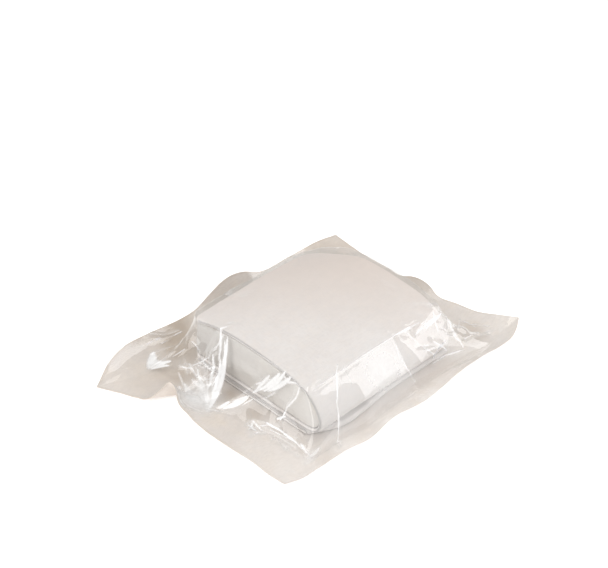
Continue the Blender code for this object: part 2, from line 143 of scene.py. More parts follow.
# Knots of the film's tent, between which it is pulled into flat facets. Columns:
# turns round the pad (a side each, 0 at the front left corner, then front,
# right, back, left), climb from the foot (0) to the top edge (1), height in
# units of crumple.
FILM_KNOTS = (
    # front: a panel that rises to a thin streak and on to the next ridge
    (0.00, 1.00, 0.0), (0.00, 0.20, 0.0), (0.231, 1.05, 0.5), (0.195, 0.85, 1.1),
    (0.158, 0.62, 1.3), (0.150, 0.30, 1.2), (0.151, 0.02, 0.6), (0.285, 1.00, 0.8),
    (0.283, 0.66, 2.3), (0.298, 0.41, 2.6), (0.310, 0.10, 1.6), (0.320, -0.08, 0.3),
    # front: the broad panel, down to its valley
    (0.627, 1.00, 0.0), (0.604, 0.50, 0.0), (0.604, 0.08, 0.0),
    # front: the steep rise after it, and the broken ground before the corner
    (0.660, 0.98, 0.6), (0.665, 0.60, 2.0), (0.670, 0.35, 2.4), (0.665, 0.08, 1.2),
    (0.725, 0.50, 2.1), (0.740, 0.20, 1.6), (0.715, 1.08, 0.4), (0.760, 0.82, 1.6),
    (0.790, 1.02, 0.2), (0.810, 0.62, 1.0), (0.830, 0.90, 1.5), (0.840, 0.42, 2.4),
    (0.860, 1.08, 0.5), (0.875, 0.72, 0.6), (0.890, 0.95, 1.3), (0.910, 0.50, 1.6),
    (0.930, 0.80, 0.5), (0.950, 1.04, 0.9), (0.955, 0.30, 0.8), (0.975, 0.70, 2.0),
    (1.000, 0.95, 0.3), (1.010, 0.45, 2.4), (1.020, 0.20, 1.0), (0.900, 0.10, 0.4),
    # back left corner and the slack film before the notch
    (2.870, -0.05, 1.6), (2.880, 0.30, 0.4), (2.950, 0.40, 1.6), (2.930, 0.10, 0.3),
    (2.990, 0.92, 0.8), (3.020, 0.70, 1.6), (3.060, 0.22, 0.2), (3.080, 0.02, 0.4),
    (3.060, 0.50, 0.4), (3.111, 0.27, 1.8), (3.110, 0.85, 0.2), (3.150, 0.60, 0.6),
    (3.173, 0.33, 2.2), (3.222, 0.60, 2.2), (3.200, 0.85, 0.4), (3.200, 0.20, 0.4),
    (3.215, 0.38, 1.9), (3.300, 0.17, 1.6), (3.391, 0.00, 0.8), (3.250, 0.05, 0.4),
    # left end: the tall crease, its ridge and its valley
    (3.267, 1.05, 0.9), (3.253, 0.83, 2.2), (3.244, 0.59, 3.0), (3.289, 0.30, 2.6),
    (3.342, 0.11, 1.8), (3.418, -0.05, 0.7), (3.300, 0.81, 0.6), (3.312, 0.50, 0.4),
    (3.335, 0.23, 0.5), (3.385, 0.04, 0.2), (3.290, 1.02, 0.2), (3.400, 0.60, 1.0),
    (3.420, 0.25, 1.0), (3.430, 0.90, 0.5), (3.540, 0.92, 0.8),
    # left end: the slanting band, its ridge and its valley
    (3.700, 0.97, 1.2), (3.665, 0.84, 2.0), (3.645, 0.75, 2.3), (3.560, 0.50, 2.6),
    (3.528, 0.38, 2.6), (3.485, 0.23, 2.2), (3.445, 0.05, 1.4), (3.900, 1.00, 0.2),
    (3.745, 0.76, 0.3), (3.710, 0.64, 0.3), (3.600, 0.39, 0.3), (3.570, 0.22, 0.3),
    (3.520, 0.03, 0.2), (3.480, -0.08, 0.3),
    # left end: the corner line and the knot at its foot
    (3.940, 1.00, 0.6), (3.870, 0.77, 1.0), (3.800, 0.53, 1.2), (3.778, 0.30, 1.5),
    (3.860, 0.45, 0.3), (3.930, 0.65, 0.3), (3.700, 0.40, 0.4), (3.680, 0.25, 0.5),
    # left end: the fan of short creases on the flange
    (3.640, 0.10, 1.6), (3.618, 0.00, 0.3), (3.667, -0.11, 0.9), (3.700, -0.03, 0.2),
    (3.707, 0.17, 1.6), (3.760, 0.02, 0.3), (3.818, 0.13, 1.6), (3.870, -0.03, 0.3),
    (3.951, 0.10, 1.4), (0.020, 0.12, 1.0), (0.080, -0.20, 0.2), (0.050, -0.05, 0.9),
    (3.980, -0.10, 0.2), (3.900, 0.25, 0.4),
)

# Patches of small random crinkles: turns, climb, half lengths of the patch in
# both, how many knots, height in units of crumple.
CRINKLES = (
    (0.88, 0.86, 0.17, 0.32, 40, 1.10),
    (1.00, 0.35, 0.10, 0.35, 16, 0.90),
    (3.12, 0.35, 0.12, 0.40, 14, 1.00),
    (3.80, -0.02, 0.12, 0.14, 12, 0.80),
    (1.52, 0.50, 0.36, 0.55, 64, 1.80),
    (2.42, 0.50, 0.40, 0.55, 70, 1.80),
)

# Patches of painted highlight, where the film shows glare. Columns: turns, climb, half lengths of
# the patch in both, share of white at its middle.
PAINTED_HIGHLIGHT_PATCHES = (
    (3.34, -0.18, 0.20, 0.66, 0.70), (0.02, -0.02, 0.07, 0.26, 0.35),
    (0.90, 0.70, 0.30, 0.70, 0.12), (0.15, 0.50, 0.34, 1.00, 0.18),
    (0.46, 0.60, 0.30, 0.95, 0.34), (2.95, 0.20, 0.20, 0.50, 0.10),
)

# Strokes of painted highlight, where the film's folds show glare, as they were read in the photo.
# Columns: start column, start row, end column and end row in the photo's pixels, half width in
# millimetres, share of white.
PAINTED_HIGHLIGHT_STROKES = (
    # front: the thin streak, the white panel's edges
    (338, 363, 336.5, 385, 0.6, 0.75), (336.5, 380, 336.5, 405, 0.7, 0.8),
    (336.5, 400, 337.5, 442, 0.6, 0.7), (344, 366, 352, 385, 0.4, 0.3),
    (392, 337, 402, 362, 0.5, 0.35), (400, 358, 415, 383, 0.5, 0.35),
    # front right corner: broken ground
    (400, 333, 420, 322, 1, 0.55), (392, 336, 412, 328, 0.8, 0.5), (415, 335, 436, 316, 1.3, 0.5),
    (425, 330, 441, 312, 1.5, 0.55), (464, 350, 446, 356, 0.8, 0.5),
    (432, 340, 446, 350, 0.9, 0.45), (420, 345, 436, 356, 0.7, 0.4), (450, 322, 458, 342, 1.6, 0.4),
    (405, 330, 416, 342, 0.6, 0.4), (446, 356, 432, 364, 0.6, 0.35),
    # back left: the white patch and lines
    (153, 352, 172, 361, 3.4, 0.8), (156, 356, 170, 366, 2.4, 0.75), (150, 341, 165, 336, 0.7, 0.5),
    (160, 344, 182, 331, 0.6, 0.45), (140, 346, 158, 340, 0.7, 0.4),
    (172, 357, 186, 348, 0.7, 0.45), (178, 371, 186, 388, 0.7, 0.45),
    (190, 340, 200, 352, 0.6, 0.4),
    # left end: the corner line, its knot, and the fan on the flange
    (301, 384, 295, 400, 0.7, 0.6), (297, 396, 286, 408, 0.7, 0.6), (287, 406, 280, 421, 0.7, 0.55),
    (276, 419, 286, 416, 1, 0.7), (248, 431, 252, 420, 0.7, 0.65), (252, 420, 262, 431, 0.8, 0.65),
    (246, 424, 258, 434, 0.9, 0.7), (258, 426, 272, 424, 0.6, 0.5), (266, 422, 285, 434, 1.1, 0.7),
    (278, 428, 306, 452, 1, 0.7), (270, 430, 298, 445, 0.6, 0.5), (300, 442, 312, 456, 1, 0.6),
    (306, 458, 320, 446, 1.8, 0.5),
    # left end: the tall crease and the lines beside it
    (228.3, 325.7, 218.3, 361.7, 1.2, 0.7), (227.3, 335, 212.7, 385, 2.2, 0.74),
    (224.3, 338.3, 209, 408.3, 2.2, 0.78), (220, 358.3, 209.7, 407.7, 2, 0.74),
    (226.3, 340, 219, 375, 1.6, 0.6), (213, 352, 207, 390, 1.2, 0.66),
    (205, 377, 209.7, 407.7, 0.9, 0.6), (224, 332, 213, 352, 0.6, 0.55),
    (198, 368, 208, 404, 0.8, 0.6), (192, 366, 209, 357, 0.6, 0.55), (180, 366, 194, 368, 0.6, 0.5),
    (200, 356, 214, 372, 0.6, 0.5), (188, 362, 200, 380, 0.6, 0.45), (228, 324, 233, 322, 0.6, 0.6),
    (200, 381.7, 216.7, 376.7, 0.5, 0.45), (195, 371.7, 216.7, 391.7, 0.5, 0.4),
    # left end: the slanting band and the triangle under it
    (255.7, 389.7, 270.3, 374.3, 1.3, 0.62), (259, 390.7, 280, 372.3, 1.7, 0.68),
    (263, 391.7, 287, 371.7, 1.6, 0.68), (267.7, 391.7, 292.3, 377, 1.7, 0.66),
    (275.7, 381.7, 298.3, 383.7, 1, 0.55), (251.7, 393.3, 261.7, 386.3, 1.2, 0.55),
    (281.7, 373.7, 289, 381.7, 1.2, 0.5), (253.3, 384.3, 271.7, 379, 0.6, 0.45),
    (265, 398.3, 276.7, 391.7, 0.6, 0.4), (217.7, 409, 230.3, 401, 1.5, 0.62),
    (221.7, 409.7, 241.7, 399.7, 1.7, 0.66), (228.3, 409, 249, 396.3, 1.6, 0.66),
    (231.7, 401.7, 248.3, 395.7, 1.1, 0.6), (241.7, 405, 253.3, 398.3, 0.7, 0.45),
    # beside the notch: painted highlight on the folds
    (180, 385, 195, 406.7, 2, 0.62), (185, 381.7, 201.7, 405, 2, 0.6),
    (181.7, 398.3, 201.7, 411.7, 1.6, 0.55), (191.7, 378.3, 209, 398.3, 1.6, 0.5),
    (185, 391.7, 215, 406.7, 1.4, 0.55), (200, 406.7, 221.7, 411.7, 1.2, 0.5),
    (178.3, 391.7, 185, 406.7, 1.2, 0.5),
    # right flange: edges of the film's folds
    (443.3, 312.3, 459, 320, 0.7, 0.5), (458.3, 319.3, 473.3, 325, 0.7, 0.45),
    (471.7, 323.7, 490, 326.7, 0.7, 0.4), (445, 316.7, 464.3, 349, 0.6, 0.45),
    (464.3, 349, 433.3, 360, 0.6, 0.45), (431.7, 310, 439, 335, 0.7, 0.45),
    (461.7, 320, 478.3, 328.3, 0.6, 0.45),
)

# Strokes of painted shade, where a fold of the film looks dark. Columns: start turns, start climb,
# end turns, end climb, half width in millimetres, share of dark.
PAINTED_SHADE_STROKES = (
    (0.830, 0.47, 0.745, 0.33, 0.6, 0.60), (0.865, 0.48, 0.790, 0.40, 0.5, 0.50),
    (0.765, 0.40, 0.740, 0.28, 0.5, 0.50),
)

# Patches of painted shade and painted light on the paper: darker where it lies in the pad's shadow or
# slopes away from the light, lighter where it is lit. Columns: x, y, reach in metres, and how far the
# tone moves to the darker (positive) or lighter (negative) colour.
PAPER_PAINTED_SHADE_AND_LIGHT = (
    (-0.052, 0.088, 0.024, 1.00), (-0.062, 0.070, 0.018, 0.90), (-0.080, 0.054, 0.018, 0.60),
    (-0.105, 0.060, 0.020, 0.15), (-0.070, 0.016, 0.013, 0.80), (-0.070, -0.008, 0.011, 0.60),
    (-0.095, -0.040, 0.026, -0.40), (0.085, 0.075, 0.026, 0.55), (0.084, -0.052, 0.018, 0.75),
    (0.085, 0.010, 0.026, 0.40), (0.108, -0.066, 0.020, -0.45), (-0.050, -0.073, 0.022, -0.60),
    (-0.015, -0.077, 0.026, -0.90), (0.025, -0.082, 0.026, -0.90), (0.070, -0.076, 0.026, -0.60),
    (-0.090, -0.062, 0.024, -0.40), (-0.085, 0.060, 0.060, 0.30), (0.060, 0.085, 0.040, 0.30),
    (0.090, 0.040, 0.060, 0.25), (-0.100, 0.000, 0.040, 0.15),
)

# Creases pressed into the film. Columns: start x, start y, end x, end y, height
# and half width, all in metres.
FILM_CREASES = (
    (-0.0610, 0.0288, -0.0665, 0.0339, 0.0008, 0.0013),
    (-0.0665, 0.0339, -0.0759, 0.0317, 0.0008, 0.0013),
    (-0.0723, 0.0245, -0.0794, 0.0205, 0.0007, 0.0012),
    (-0.0752, 0.0402, -0.0863, 0.0191, 0.0007, 0.0012),
    (-0.0863, 0.0191, -0.0920, 0.0120, 0.0005, 0.0012),
    (-0.0792, 0.0521, -0.0768, 0.0438, 0.0007, 0.0014),
    (-0.0768, 0.0438, -0.0685, 0.0362, 0.0007, 0.0014),
    (-0.0606, -0.0391, -0.0640, -0.0362, 0.0007, 0.0011),
    (-0.0640, -0.0362, -0.0666, -0.0334, 0.0007, 0.0011),
    (-0.0700, -0.0350, -0.0712, -0.0305, 0.0012, 0.0013),
    (-0.0812, -0.0129, -0.0777, -0.0166, 0.0008, 0.0012),
    (-0.0777, -0.0166, -0.0850, -0.0193, 0.0007, 0.0012),
    (-0.0786, -0.0273, -0.0850, -0.0193, 0.0006, 0.0012),
    (-0.0812, -0.0129, -0.0880, -0.0240, 0.0005, 0.0011),
    (-0.0753, -0.0248, -0.0740, -0.0391, 0.0008, 0.0013),
    (-0.0740, -0.0391, -0.0747, -0.0565, 0.0008, 0.0013),
    (-0.0790, -0.0300, -0.0775, -0.0500, 0.0006, 0.0012),
    (-0.0820, -0.0330, -0.0790, -0.0600, 0.0004, 0.0012),
    (-0.0541, -0.0653, -0.0560, -0.0700, 0.0006, 0.0012),
    (0.0643, -0.0638, 0.0792, -0.0623, 0.0009, 0.0015),
    (0.0792, -0.0623, 0.0976, -0.0602, 0.0009, 0.0015),
    (0.0560, -0.0570, 0.0640, -0.0480, 0.0009, 0.0014),
    (0.0700, -0.0480, 0.0850, -0.0420, 0.0008, 0.0016),
    (-0.0726, 0.0894, -0.0634, 0.0854, 0.0007, 0.0015),
    (-0.0634, 0.0854, -0.0514, 0.0839, 0.0007, 0.0015),
    (-0.0800, 0.0800, -0.0640, 0.0770, 0.0007, 0.0014),
    (-0.0860, 0.0700, -0.0740, 0.0620, 0.0006, 0.0013),
)


def spline(table, at):
    """Values of a table's later columns at the given values of its first.

    Cubic Hermite: value and slope of the two rows beside a place, blended with
    the cubic basis in the place's share t of the way between them.
    """
    rows = np.array(table)
    knots, values = rows[:, 0], rows[:, 1:]
    slopes = np.gradient(values, knots, axis=0)
    at = np.clip(np.asarray(at, float), knots[0], knots[-1])
    index = np.clip(np.searchsorted(knots, at, side="right") - 1, 0, len(knots) - 2)
    width = knots[index + 1] - knots[index]
    t = ((at - knots[index]) / width)[..., None]
    width = width[..., None]
    return ((1 + 2 * t) * (1 - t) ** 2 * values[index]
            + t * (1 - t) ** 2 * width * slopes[index]
            + t ** 2 * (3 - 2 * t) * values[index + 1]
            + t ** 2 * (t - 1) * width * slopes[index + 1])


def soften(field, times=1):
    """Blur of a grid of values: each is half itself and a quarter of each neighbour.

    The columns close to a ring; the rows don't.
    """
    for _ in range(times):
        before = np.concatenate((field[:1], field[:-1]))
        after = np.concatenate((field[1:], field[-1:]))
        field = 0.5 * field + 0.25 * (before + after)
        before, after = np.roll(field, 1, axis=1), np.roll(field, -1, axis=1)
        field = 0.5 * field + 0.25 * (before + after)
    return field


def ripple(x, y, pitch, seed):
    """Smooth random relief from -1 to 1: a sum of sine waves in random directions."""
    random = np.random.default_rng(seed)
    total = np.zeros(np.broadcast(x, y).shape)
    for turn, phase, stretch in zip(random.uniform(0, np.pi, 9), random.uniform(0, 6.28, 9),
                                    random.uniform(0.6, 1.8, 9)):
        wave = 2 * np.pi / (pitch * stretch)
        total = total + np.sin(wave * (x * np.cos(turn) + y * np.sin(turn)) + phase)
    return total / 4.5


# Pad shapes

def section_shares(u):
    """Shares (across, up) of the wrapped pad's section, u from 0 to 1 along it."""
    rows = np.array(SECTION)
    return spline(np.column_stack((np.linspace(0, 1, len(rows)), rows)), u)


def pad_surface(pad, along, across, up):
    """Point of the wrapped pad for shares along X, across Y and up its thickness.

    A box of half length, half width and thickness whose sides are drawn in by a
    quarter circle at its corners, whose top is crowned by a parabola and sags at
    the soft corner, and whose left end leans outward at its foot.
    """
    half_length, half_width = pad.length / 2, pad.width / 2
    x = half_length * along - pad.end_lean * (1 - up) * (1 - along) / 2
    back_radius = np.where(along > 0, pad.soft_corner, pad.corner)
    front_radius = np.where(along > 0, pad.corner, pad.cut_corner)
    radius = np.where(across > 0, back_radius, front_radius)
    past = np.clip(np.abs(half_length * along) - (half_length - radius), 0.0, radius)
    half = half_width - (radius - np.sqrt(radius ** 2 - past ** 2)) * np.abs(across)
    droop = pad.droop * (np.clip(along, 0, 1) * np.clip(across, 0, 1)) ** 2
    rise = pad.crown * (1 - along ** 2) - droop
    z = pad.floor + up * (pad.thickness + rise)
    return np.stack(np.broadcast_arrays(x, half * across, z), axis=-1)


def pad_section(pad, along, u, depth=0.0):
    """Point of the section u, moved into the pad by a depth, square to its line."""
    here = section_shares(u)
    before, after = section_shares(np.clip(u - 0.01, 0, 1)), section_shares(np.clip(u + 0.01, 0, 1))
    point = pad_surface(pad, along, here[..., 0], here[..., 1])
    run = (pad_surface(pad, along, after[..., 0], after[..., 1])
           - pad_surface(pad, along, before[..., 0], before[..., 1]))
    run = run / np.hypot(run[..., 1], run[..., 2])[..., None]
    point[..., 1] -= depth * -run[..., 2]
    point[..., 2] -= depth * run[..., 1]
    return point


def pad_top(pad, x, y):
    """Height of the pad's top at a place in plan, held level past its edges."""
    rows = np.array(SECTION[NOSE_ROWS[1]:])
    across = np.clip(y / (pad.width / 2), rows[0, 0], rows[-1, 0])
    up = spline(rows, across)[..., 0]
    return pad_surface(pad, np.clip(x / (pad.length / 2), -1, 1), across, up)[..., 2]


def pillow_dent(x, y):
    """How far the soft wrap dips below its smooth shape: two sizes of gentle relief."""
    return 0.00016 * (1 + ripple(x, y, 0.034, 5)) + 0.00007 * (1 + ripple(x, y, 0.011, 8))


# Pouch shapes

def rim(pad, p, q, ease, front_share, front_radii):
    """Plan of a ring round the pad: a rectangle whose corners are drawn in to arcs."""
    low = (-pad.length / 2 - ease, -pad.width / 2 * front_share - ease)
    high = (pad.length / 2 + ease, pad.width / 2 + ease)
    x = low[0] + (high[0] - low[0]) * (p + 1) / 2
    y = low[1] + (high[1] - low[1]) * (q + 1) / 2
    radii = [radius + ease for radius in (*front_radii, pad.soft_corner, pad.corner)]
    for (sx, sy), radius in zip(((-1, -1), (1, -1), (1, 1), (-1, 1)), radii):
        cx = (high[0] if sx > 0 else low[0]) - sx * radius
        cy = (high[1] if sy > 0 else low[1]) - sy * radius
        dx, dy = (x - cx) * sx, (y - cy) * sy
        inside = (dx > 0) & (dy > 0)
        shrink = np.where(inside, np.maximum(dx, dy) / np.maximum(np.hypot(dx, dy), 1e-9), 1.0)
        x, y = cx + sx * dx * shrink, cy + sy * dy * shrink
    return x, y


def pouch_edge(pad, pouch, p, q):
    """Outline plan, curl height, foot share and hug for the rim point (p, q).

    Straight lines between the four corners, moved inward by the side's inset.
    """
    corners = []
    for reach_x, reach_y in CORNERS.values():
        flange_x = pouch.flange_right if reach_x > 0 else pouch.flange_left
        flange_y = pouch.flange_back if reach_y > 0 else pouch.flange_front
        corners.append(np.array((np.sign(reach_x) * pad.length / 2 + reach_x * flange_x,
                                 np.sign(reach_y) * pad.width / 2 + reach_y * flange_y)))
    sides = (("front", q, -1, (p + 1) / 2), ("right", p, 1, (q + 1) / 2),
             ("back", q, 1, (1 - p) / 2), ("left", p, -1, (1 - q) / 2))
    result = np.zeros(p.shape + (5,))
    for index, (name, rim_value, sign, share) in enumerate(sides):
        start, end = corners[index], corners[(index + 1) % 4]
        inward = np.array((start[1] - end[1], end[0] - start[0]))
        inward = inward / np.linalg.norm(inward)
        inset, curl, foot, hug = np.moveaxis(spline(SIDES[name], share), -1, 0)
        plan = (start + (end - start) * share[..., None]
                + inward * (inset * pouch.edge_wander)[..., None])
        values = np.concatenate((plan, np.stack((curl * pouch.edge_lift, foot, hug), -1)), -1)
        result = np.where(np.isclose(rim_value, sign)[..., None], values, result)
    return result


def rim_place(turns):
    """Point on the square's rim for turns round it: front, right, back, left side."""
    side, share = np.floor(turns) % 4, turns % 1
    p = np.select([side == 0, side == 1, side == 2], [2 * share - 1, 1 + 0 * share, 1 - 2 * share],
                  -1 + 0 * share)
    q = np.select([side == 0, side == 1, side == 2], [-1 + 0 * share, 2 * share - 1, 1 + 0 * share],
                  1 - 2 * share)
    return p, q


def crumple_knots(seed=11):
    """All knots of the tent's facets: placed ones, random crinkles, and a level border."""
    random = np.random.default_rng(seed)
    rows = [np.array(FILM_KNOTS)]
    for turns, climb, half_turns, half_climb, count, height in CRINKLES:
        patch = np.column_stack((turns + random.uniform(-1, 1, count) * half_turns,
                                 climb + random.uniform(-1, 1, count) * half_climb,
                                 random.uniform(0, 1, count) ** 1.5 * height))
        rows.append(patch)
    for climb in (-0.42, 1.28):
        steps = np.arange(0, 4, 0.08)
        rows.append(np.column_stack((steps, np.full_like(steps, climb), np.zeros_like(steps))))
    knots = np.concatenate(rows)
    return np.concatenate((knots, knots[knots[:, 0] < 0.5] + (4, 0, 0),
                           knots[knots[:, 0] > 3.5] - (4, 0, 0)))


def facet_heights(turns, climb):
    """Height of the faceted film: linear inside each triangle between three knots.

    The strip of turns and climb is triangulated between the knots, and a
    place's height is the mean of its triangle's knots weighted by area.
    """
    knots = crumple_knots()
    scale = np.array((TURN_MM, CLIMB_MM)) / 1000
    flat = [Vector(pair) for pair in knots[:, :2] * scale * 100]
    verts, _, faces, origin, _, _ = geometry.delaunay_2d_cdt(flat, [], [], 0, 1e-5)
    level = np.array([knots[source[0], 2] if source else 0.0 for source in origin])
    place = np.stack((turns * scale[0], climb * scale[1]), -1) * 100
    height = np.zeros(turns.shape)
    points = np.array([tuple(vert) for vert in verts])
    for face in faces:
        a, b, c = points[list(face)]
        area = (b[0] - a[0]) * (c[1] - a[1]) - (b[1] - a[1]) * (c[0] - a[0])
        if abs(area) < 1e-9:
            continue
        off = place - a
        wb = (off[..., 0] * (c[1] - a[1]) - off[..., 1] * (c[0] - a[0])) / area
        wc = (off[..., 1] * (b[0] - a[0]) - off[..., 0] * (b[1] - a[1])) / area
        inside = (wb >= -1e-6) & (wc >= -1e-6) & (wb + wc <= 1 + 1e-6)
        levels = level[list(face)]
        value = levels[0] * (1 - wb - wc) + levels[1] * wb + levels[2] * wc
        height = np.where(inside, value, height)
    return height


def front_edge(turns):
    """1 along the pad's front top edge, where the film is folded sharply, 0 elsewhere."""
    return np.clip((turns - 0.02) / 0.05, 0, 1) * np.clip((0.80 - turns) / 0.08, 0, 1)


def crease_height(table, x, y):
    """Height of straight creases: a tent across each line that fades at its ends."""
    total = np.zeros_like(x)
    for x0, y0, x1, y1, height, width in table:
        run = np.array((x1 - x0, y1 - y0))
        length = np.hypot(*run)
        along = ((x - x0) * run[0] + (y - y0) * run[1]) / length ** 2
        aside = np.abs((x - x0) * run[1] - (y - y0) * run[0]) / length
        ridge = np.clip(1 - aside / width, 0, 1)
        fade = np.clip(np.minimum(along + 0.12, 1.12 - along) * 4, 0, 1)
        total = np.maximum(total, height * ridge * fade)
    return total


def patch_share(table, first, second):
    """Largest share of the patches at a place: each falls off by a smooth cubic step."""
    total = np.zeros_like(first)
    for at_first, at_second, half_first, half_second, share in table:
        off = (first - at_first + 2) % 4 - 2
        far = np.clip(1 - np.hypot(off / half_first, (second - at_second) / half_second), 0, 1)
        total = np.maximum(total, share * far * far * (3 - 2 * far))
    return total


def stroke_share(table, turns, climb):
    """Largest share of the strokes at a place: each is widest at its middle and
    thins out to its ends, and falls off to its sides by a smooth cubic step.

    Distances are measured in millimetres along the film.
    """
    total = np.zeros_like(turns)
    for turn0, climb0, turn1, climb1, width, share in table:
        off = (turns - turn0 + 2) % 4 - 2
        run = np.array(((turn1 - turn0) * TURN_MM, (climb1 - climb0) * CLIMB_MM))
        length = np.hypot(*run)
        x, y = off * TURN_MM, (climb - climb0) * CLIMB_MM
        along = (x * run[0] + y * run[1]) / length ** 2
        aside = np.abs(x * run[1] - y * run[0]) / length
        reach = width * np.clip(4 * along * (1 - along), 0, 1) ** 0.7 + 1e-6
        far = np.clip(2 * (1 - aside / reach), 0, 1) * ((along > 0) & (along < 1))
        total = np.maximum(total, share * far * far * (3 - 2 * far))
    return total


def view_axes():
    """Right, up and back directions of the photo's camera, and the place of its eye."""
    azimuth, elevation = np.radians(VIEW_ANGLES)
    back = np.array((np.sin(azimuth) * np.cos(elevation), -np.cos(azimuth) * np.cos(elevation),
                     np.sin(elevation)))
    right = np.array((np.cos(azimuth), np.sin(azimuth), 0.0))
    return right, np.cross(back, right), back, np.array(VIEW_TARGET) + back * VIEW_DISTANCE


def strokes_on_film(readings, points, turns, climb):
    """Strokes read in the photo, with their ends as turns and climbs on the film.

    Every point of the film is projected through the photo's camera: its offset
    to the right and up, times the focal length in pixels, over its distance. Of
    the points beside a reading, those within the slab nearest to the camera are
    the ones that show, and the closest of them gives the place.
    """
    beside, further, slab = 1.2, 4.0, 0.003
    right, up, back, eye = view_axes()
    offset = points.reshape(-1, 3) - eye
    away = -offset @ back
    focal = PHOTO_SIZE[0] * LENS / SENSOR_WIDTH
    columns = PHOTO_SIZE[0] / 2 + focal * (offset @ right) / away
    rows = PHOTO_SIZE[1] / 2 - focal * (offset @ up) / away

    def place(column, row):
        miss = np.hypot(columns - column, rows - row)
        near = np.flatnonzero(miss < (beside if miss.min() < beside else further))
        shown = near[away[near] < away[near].min() + slab]
        best = shown[np.argmin(miss[shown])]
        return turns.flat[best], climb.flat[best]

    strokes = []
    for column0, row0, column1, row1, width, share in readings:
        (turn0, climb0), (turn1, climb1) = place(column0, row0), place(column1, row1)
        turn1 += 4 * np.round((turn0 - turn1) / 4)
        strokes.append((turn0, climb0, turn1, climb1, width, share))
    return strokes


def paper_painted_shade_and_light(x, y):
    """Painted shade and painted light on the paper: a sum of soft round patches, each a squared falloff.
    """
    total = np.zeros_like(x)
    for at_x, at_y, reach, shift in PAPER_PAINTED_SHADE_AND_LIGHT:
        total += shift * np.clip(1 - ((x - at_x) ** 2 + (y - at_y) ** 2) / reach ** 2, 0, 1) ** 2
    return total


def add_values(obj, name, values):
    """Store one number for each vertex of a piece as a named attribute."""
    attribute = obj.data.attributes.new(name, "FLOAT", "POINT")
    attribute.data.foreach_set("value", np.ascontiguousarray(values, np.float32).ravel())


def flange_ripple(pouch, x, y, flange):
    """Lift of the sealed flange: gentle waves that grow towards the cut edge."""
    waves = 0.5 + 0.5 * ripple(x, y, 0.030, 21)
    fine = 0.5 + 0.5 * ripple(x, y, 0.012, 34)
    return pouch.flange_wave * (waves + 0.3 * fine) * (1 - flange) ** 0.8


def pouch_sheets(pad, pouch, turns, ring):
    """Upper face of the paper and inner face of the film over rings of a square,
    and how far each place of the film is lifted and has climbed.

    Turns say how far round the square a place is, and ring is its share of the
    way from the middle (0) to the rim (1); rows run from the rim inward.

    Flange: a straight blend from the cut edge to the film's foot, lifted by the
    curl to the power 1.6. Tent: a quadratic Bezier curve from the foot over a
    guide point beside the pad up to its top edge. Over the pad: its top plus
    the film's ease. Facets and creases then move the film along its normal.
    """
    rim_p, rim_q = rim_place(turns)
    edge = pouch_edge(pad, pouch, rim_p, rim_q)
    outline, curl, foot, hug = edge[..., :2], edge[..., 2], edge[..., 3], edge[..., 4]
    top = np.stack(rim(pad, rim_p, rim_q, pouch.film_ease, SHOULDER, (TOP_CORNER, TOP_CORNER)), -1)
    side = np.stack(rim(pad, rim_p, rim_q, pouch.side_ease, 1.0, (pad.cut_corner, pad.corner)), -1)
    side[..., 0] -= pad.end_lean * (rim_p < 0) * np.abs(rim_p)
    landing = side + (outline - side) * foot[..., None]

    band = (1 - ring) / 0.5
    flange = np.clip(band / FLANGE_SHARE, 0, 1)
    climb = (band - FLANGE_SHARE) / (1 - FLANGE_SHARE)
    tent = np.clip(climb, 0, 1)

    plan = outline + (landing - outline) * flange[..., None]
    base = curl * (1 - flange) ** 1.6 + flange_ripple(pouch, plan[..., 0], plan[..., 1], flange)
    foot_ring = 1 - FLANGE_SHARE / 2
    under_pad = landing * (ring / foot_ring)[..., None]
    paper_plan = np.where((ring < foot_ring)[..., None], under_pad, plan)
    paper = np.concatenate((paper_plan, (pouch.paper + base)[..., None]), -1)

    seat = pouch.paper + pouch.seal_gap
    top_z = pad_top(pad, top[..., 0], top[..., 1]) + pouch.film_ease
    foot_point = np.concatenate((landing, np.full(ring.shape + (1,), seat)), -1)
    top_point = np.concatenate((top, top_z[..., None]), -1)
    guide = np.concatenate((side, (top_z * hug)[..., None]), -1)
    w = tent[..., None]
    film = foot_point * (1 - w) ** 2 + guide * 2 * w * (1 - w) + top_point * w ** 2
    film = np.where((climb <= 0)[..., None],
                    np.concatenate((plan, (seat + base)[..., None]), -1), film)
    inner = ring < 0.5
    over = top * (ring / 0.5)[..., None]
    over_z = pad_top(pad, over[..., 0], over[..., 1]) + pouch.film_ease
    film = np.where(inner[..., None], np.concatenate((over, over_z[..., None]), -1), film)

    sideways = np.roll(film, -1, axis=1) - np.roll(film, 1, axis=1)
    normal = np.cross(sideways, np.gradient(film, axis=0))
    normal = soften(normal / np.maximum(np.linalg.norm(normal, axis=-1), 1e-12)[..., None], 2)
    normal /= np.maximum(np.linalg.norm(normal, axis=-1), 1e-9)[..., None]
    crumple = soften(facet_heights(turns, climb), 1) * pouch.crumple
    crease = crease_height(FILM_CREASES, film[..., 0], film[..., 1])
    hem = np.clip(1 - np.abs(climb - 1.0) / 0.05, 0, 1) * front_edge(turns)
    lift = crumple + crease * np.clip(1.3 - climb, 0, 1) + 0.0004 * hem
    return paper, film + normal * lift[..., None], lift, climb


# Mesh building

def new_piece(name, points, faces, material, node):
    """Mesh object from a list of points and faces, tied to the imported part."""
    mesh = bpy.data.meshes.new(name)
    mesh.from_pydata(points.reshape(-1, 3).tolist(), [], faces)
    mesh.update()
    mesh.validate()
    mesh.materials.append(material)
    mesh.shade_smooth()
    obj = bpy.data.objects.new(name, mesh)
    bpy.context.scene.collection.objects.link(obj)
    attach(obj, "root")
    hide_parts(node)
    return obj


def grid_faces(rows, columns):
    """Quads between neighbours of a grid of points whose columns close to a ring."""
    index = np.arange(rows * columns).reshape(rows, columns)
    right = np.roll(index, -1, axis=1)
    return np.stack((index[:-1], right[:-1], right[1:], index[1:]), -1).reshape(-1, 4)


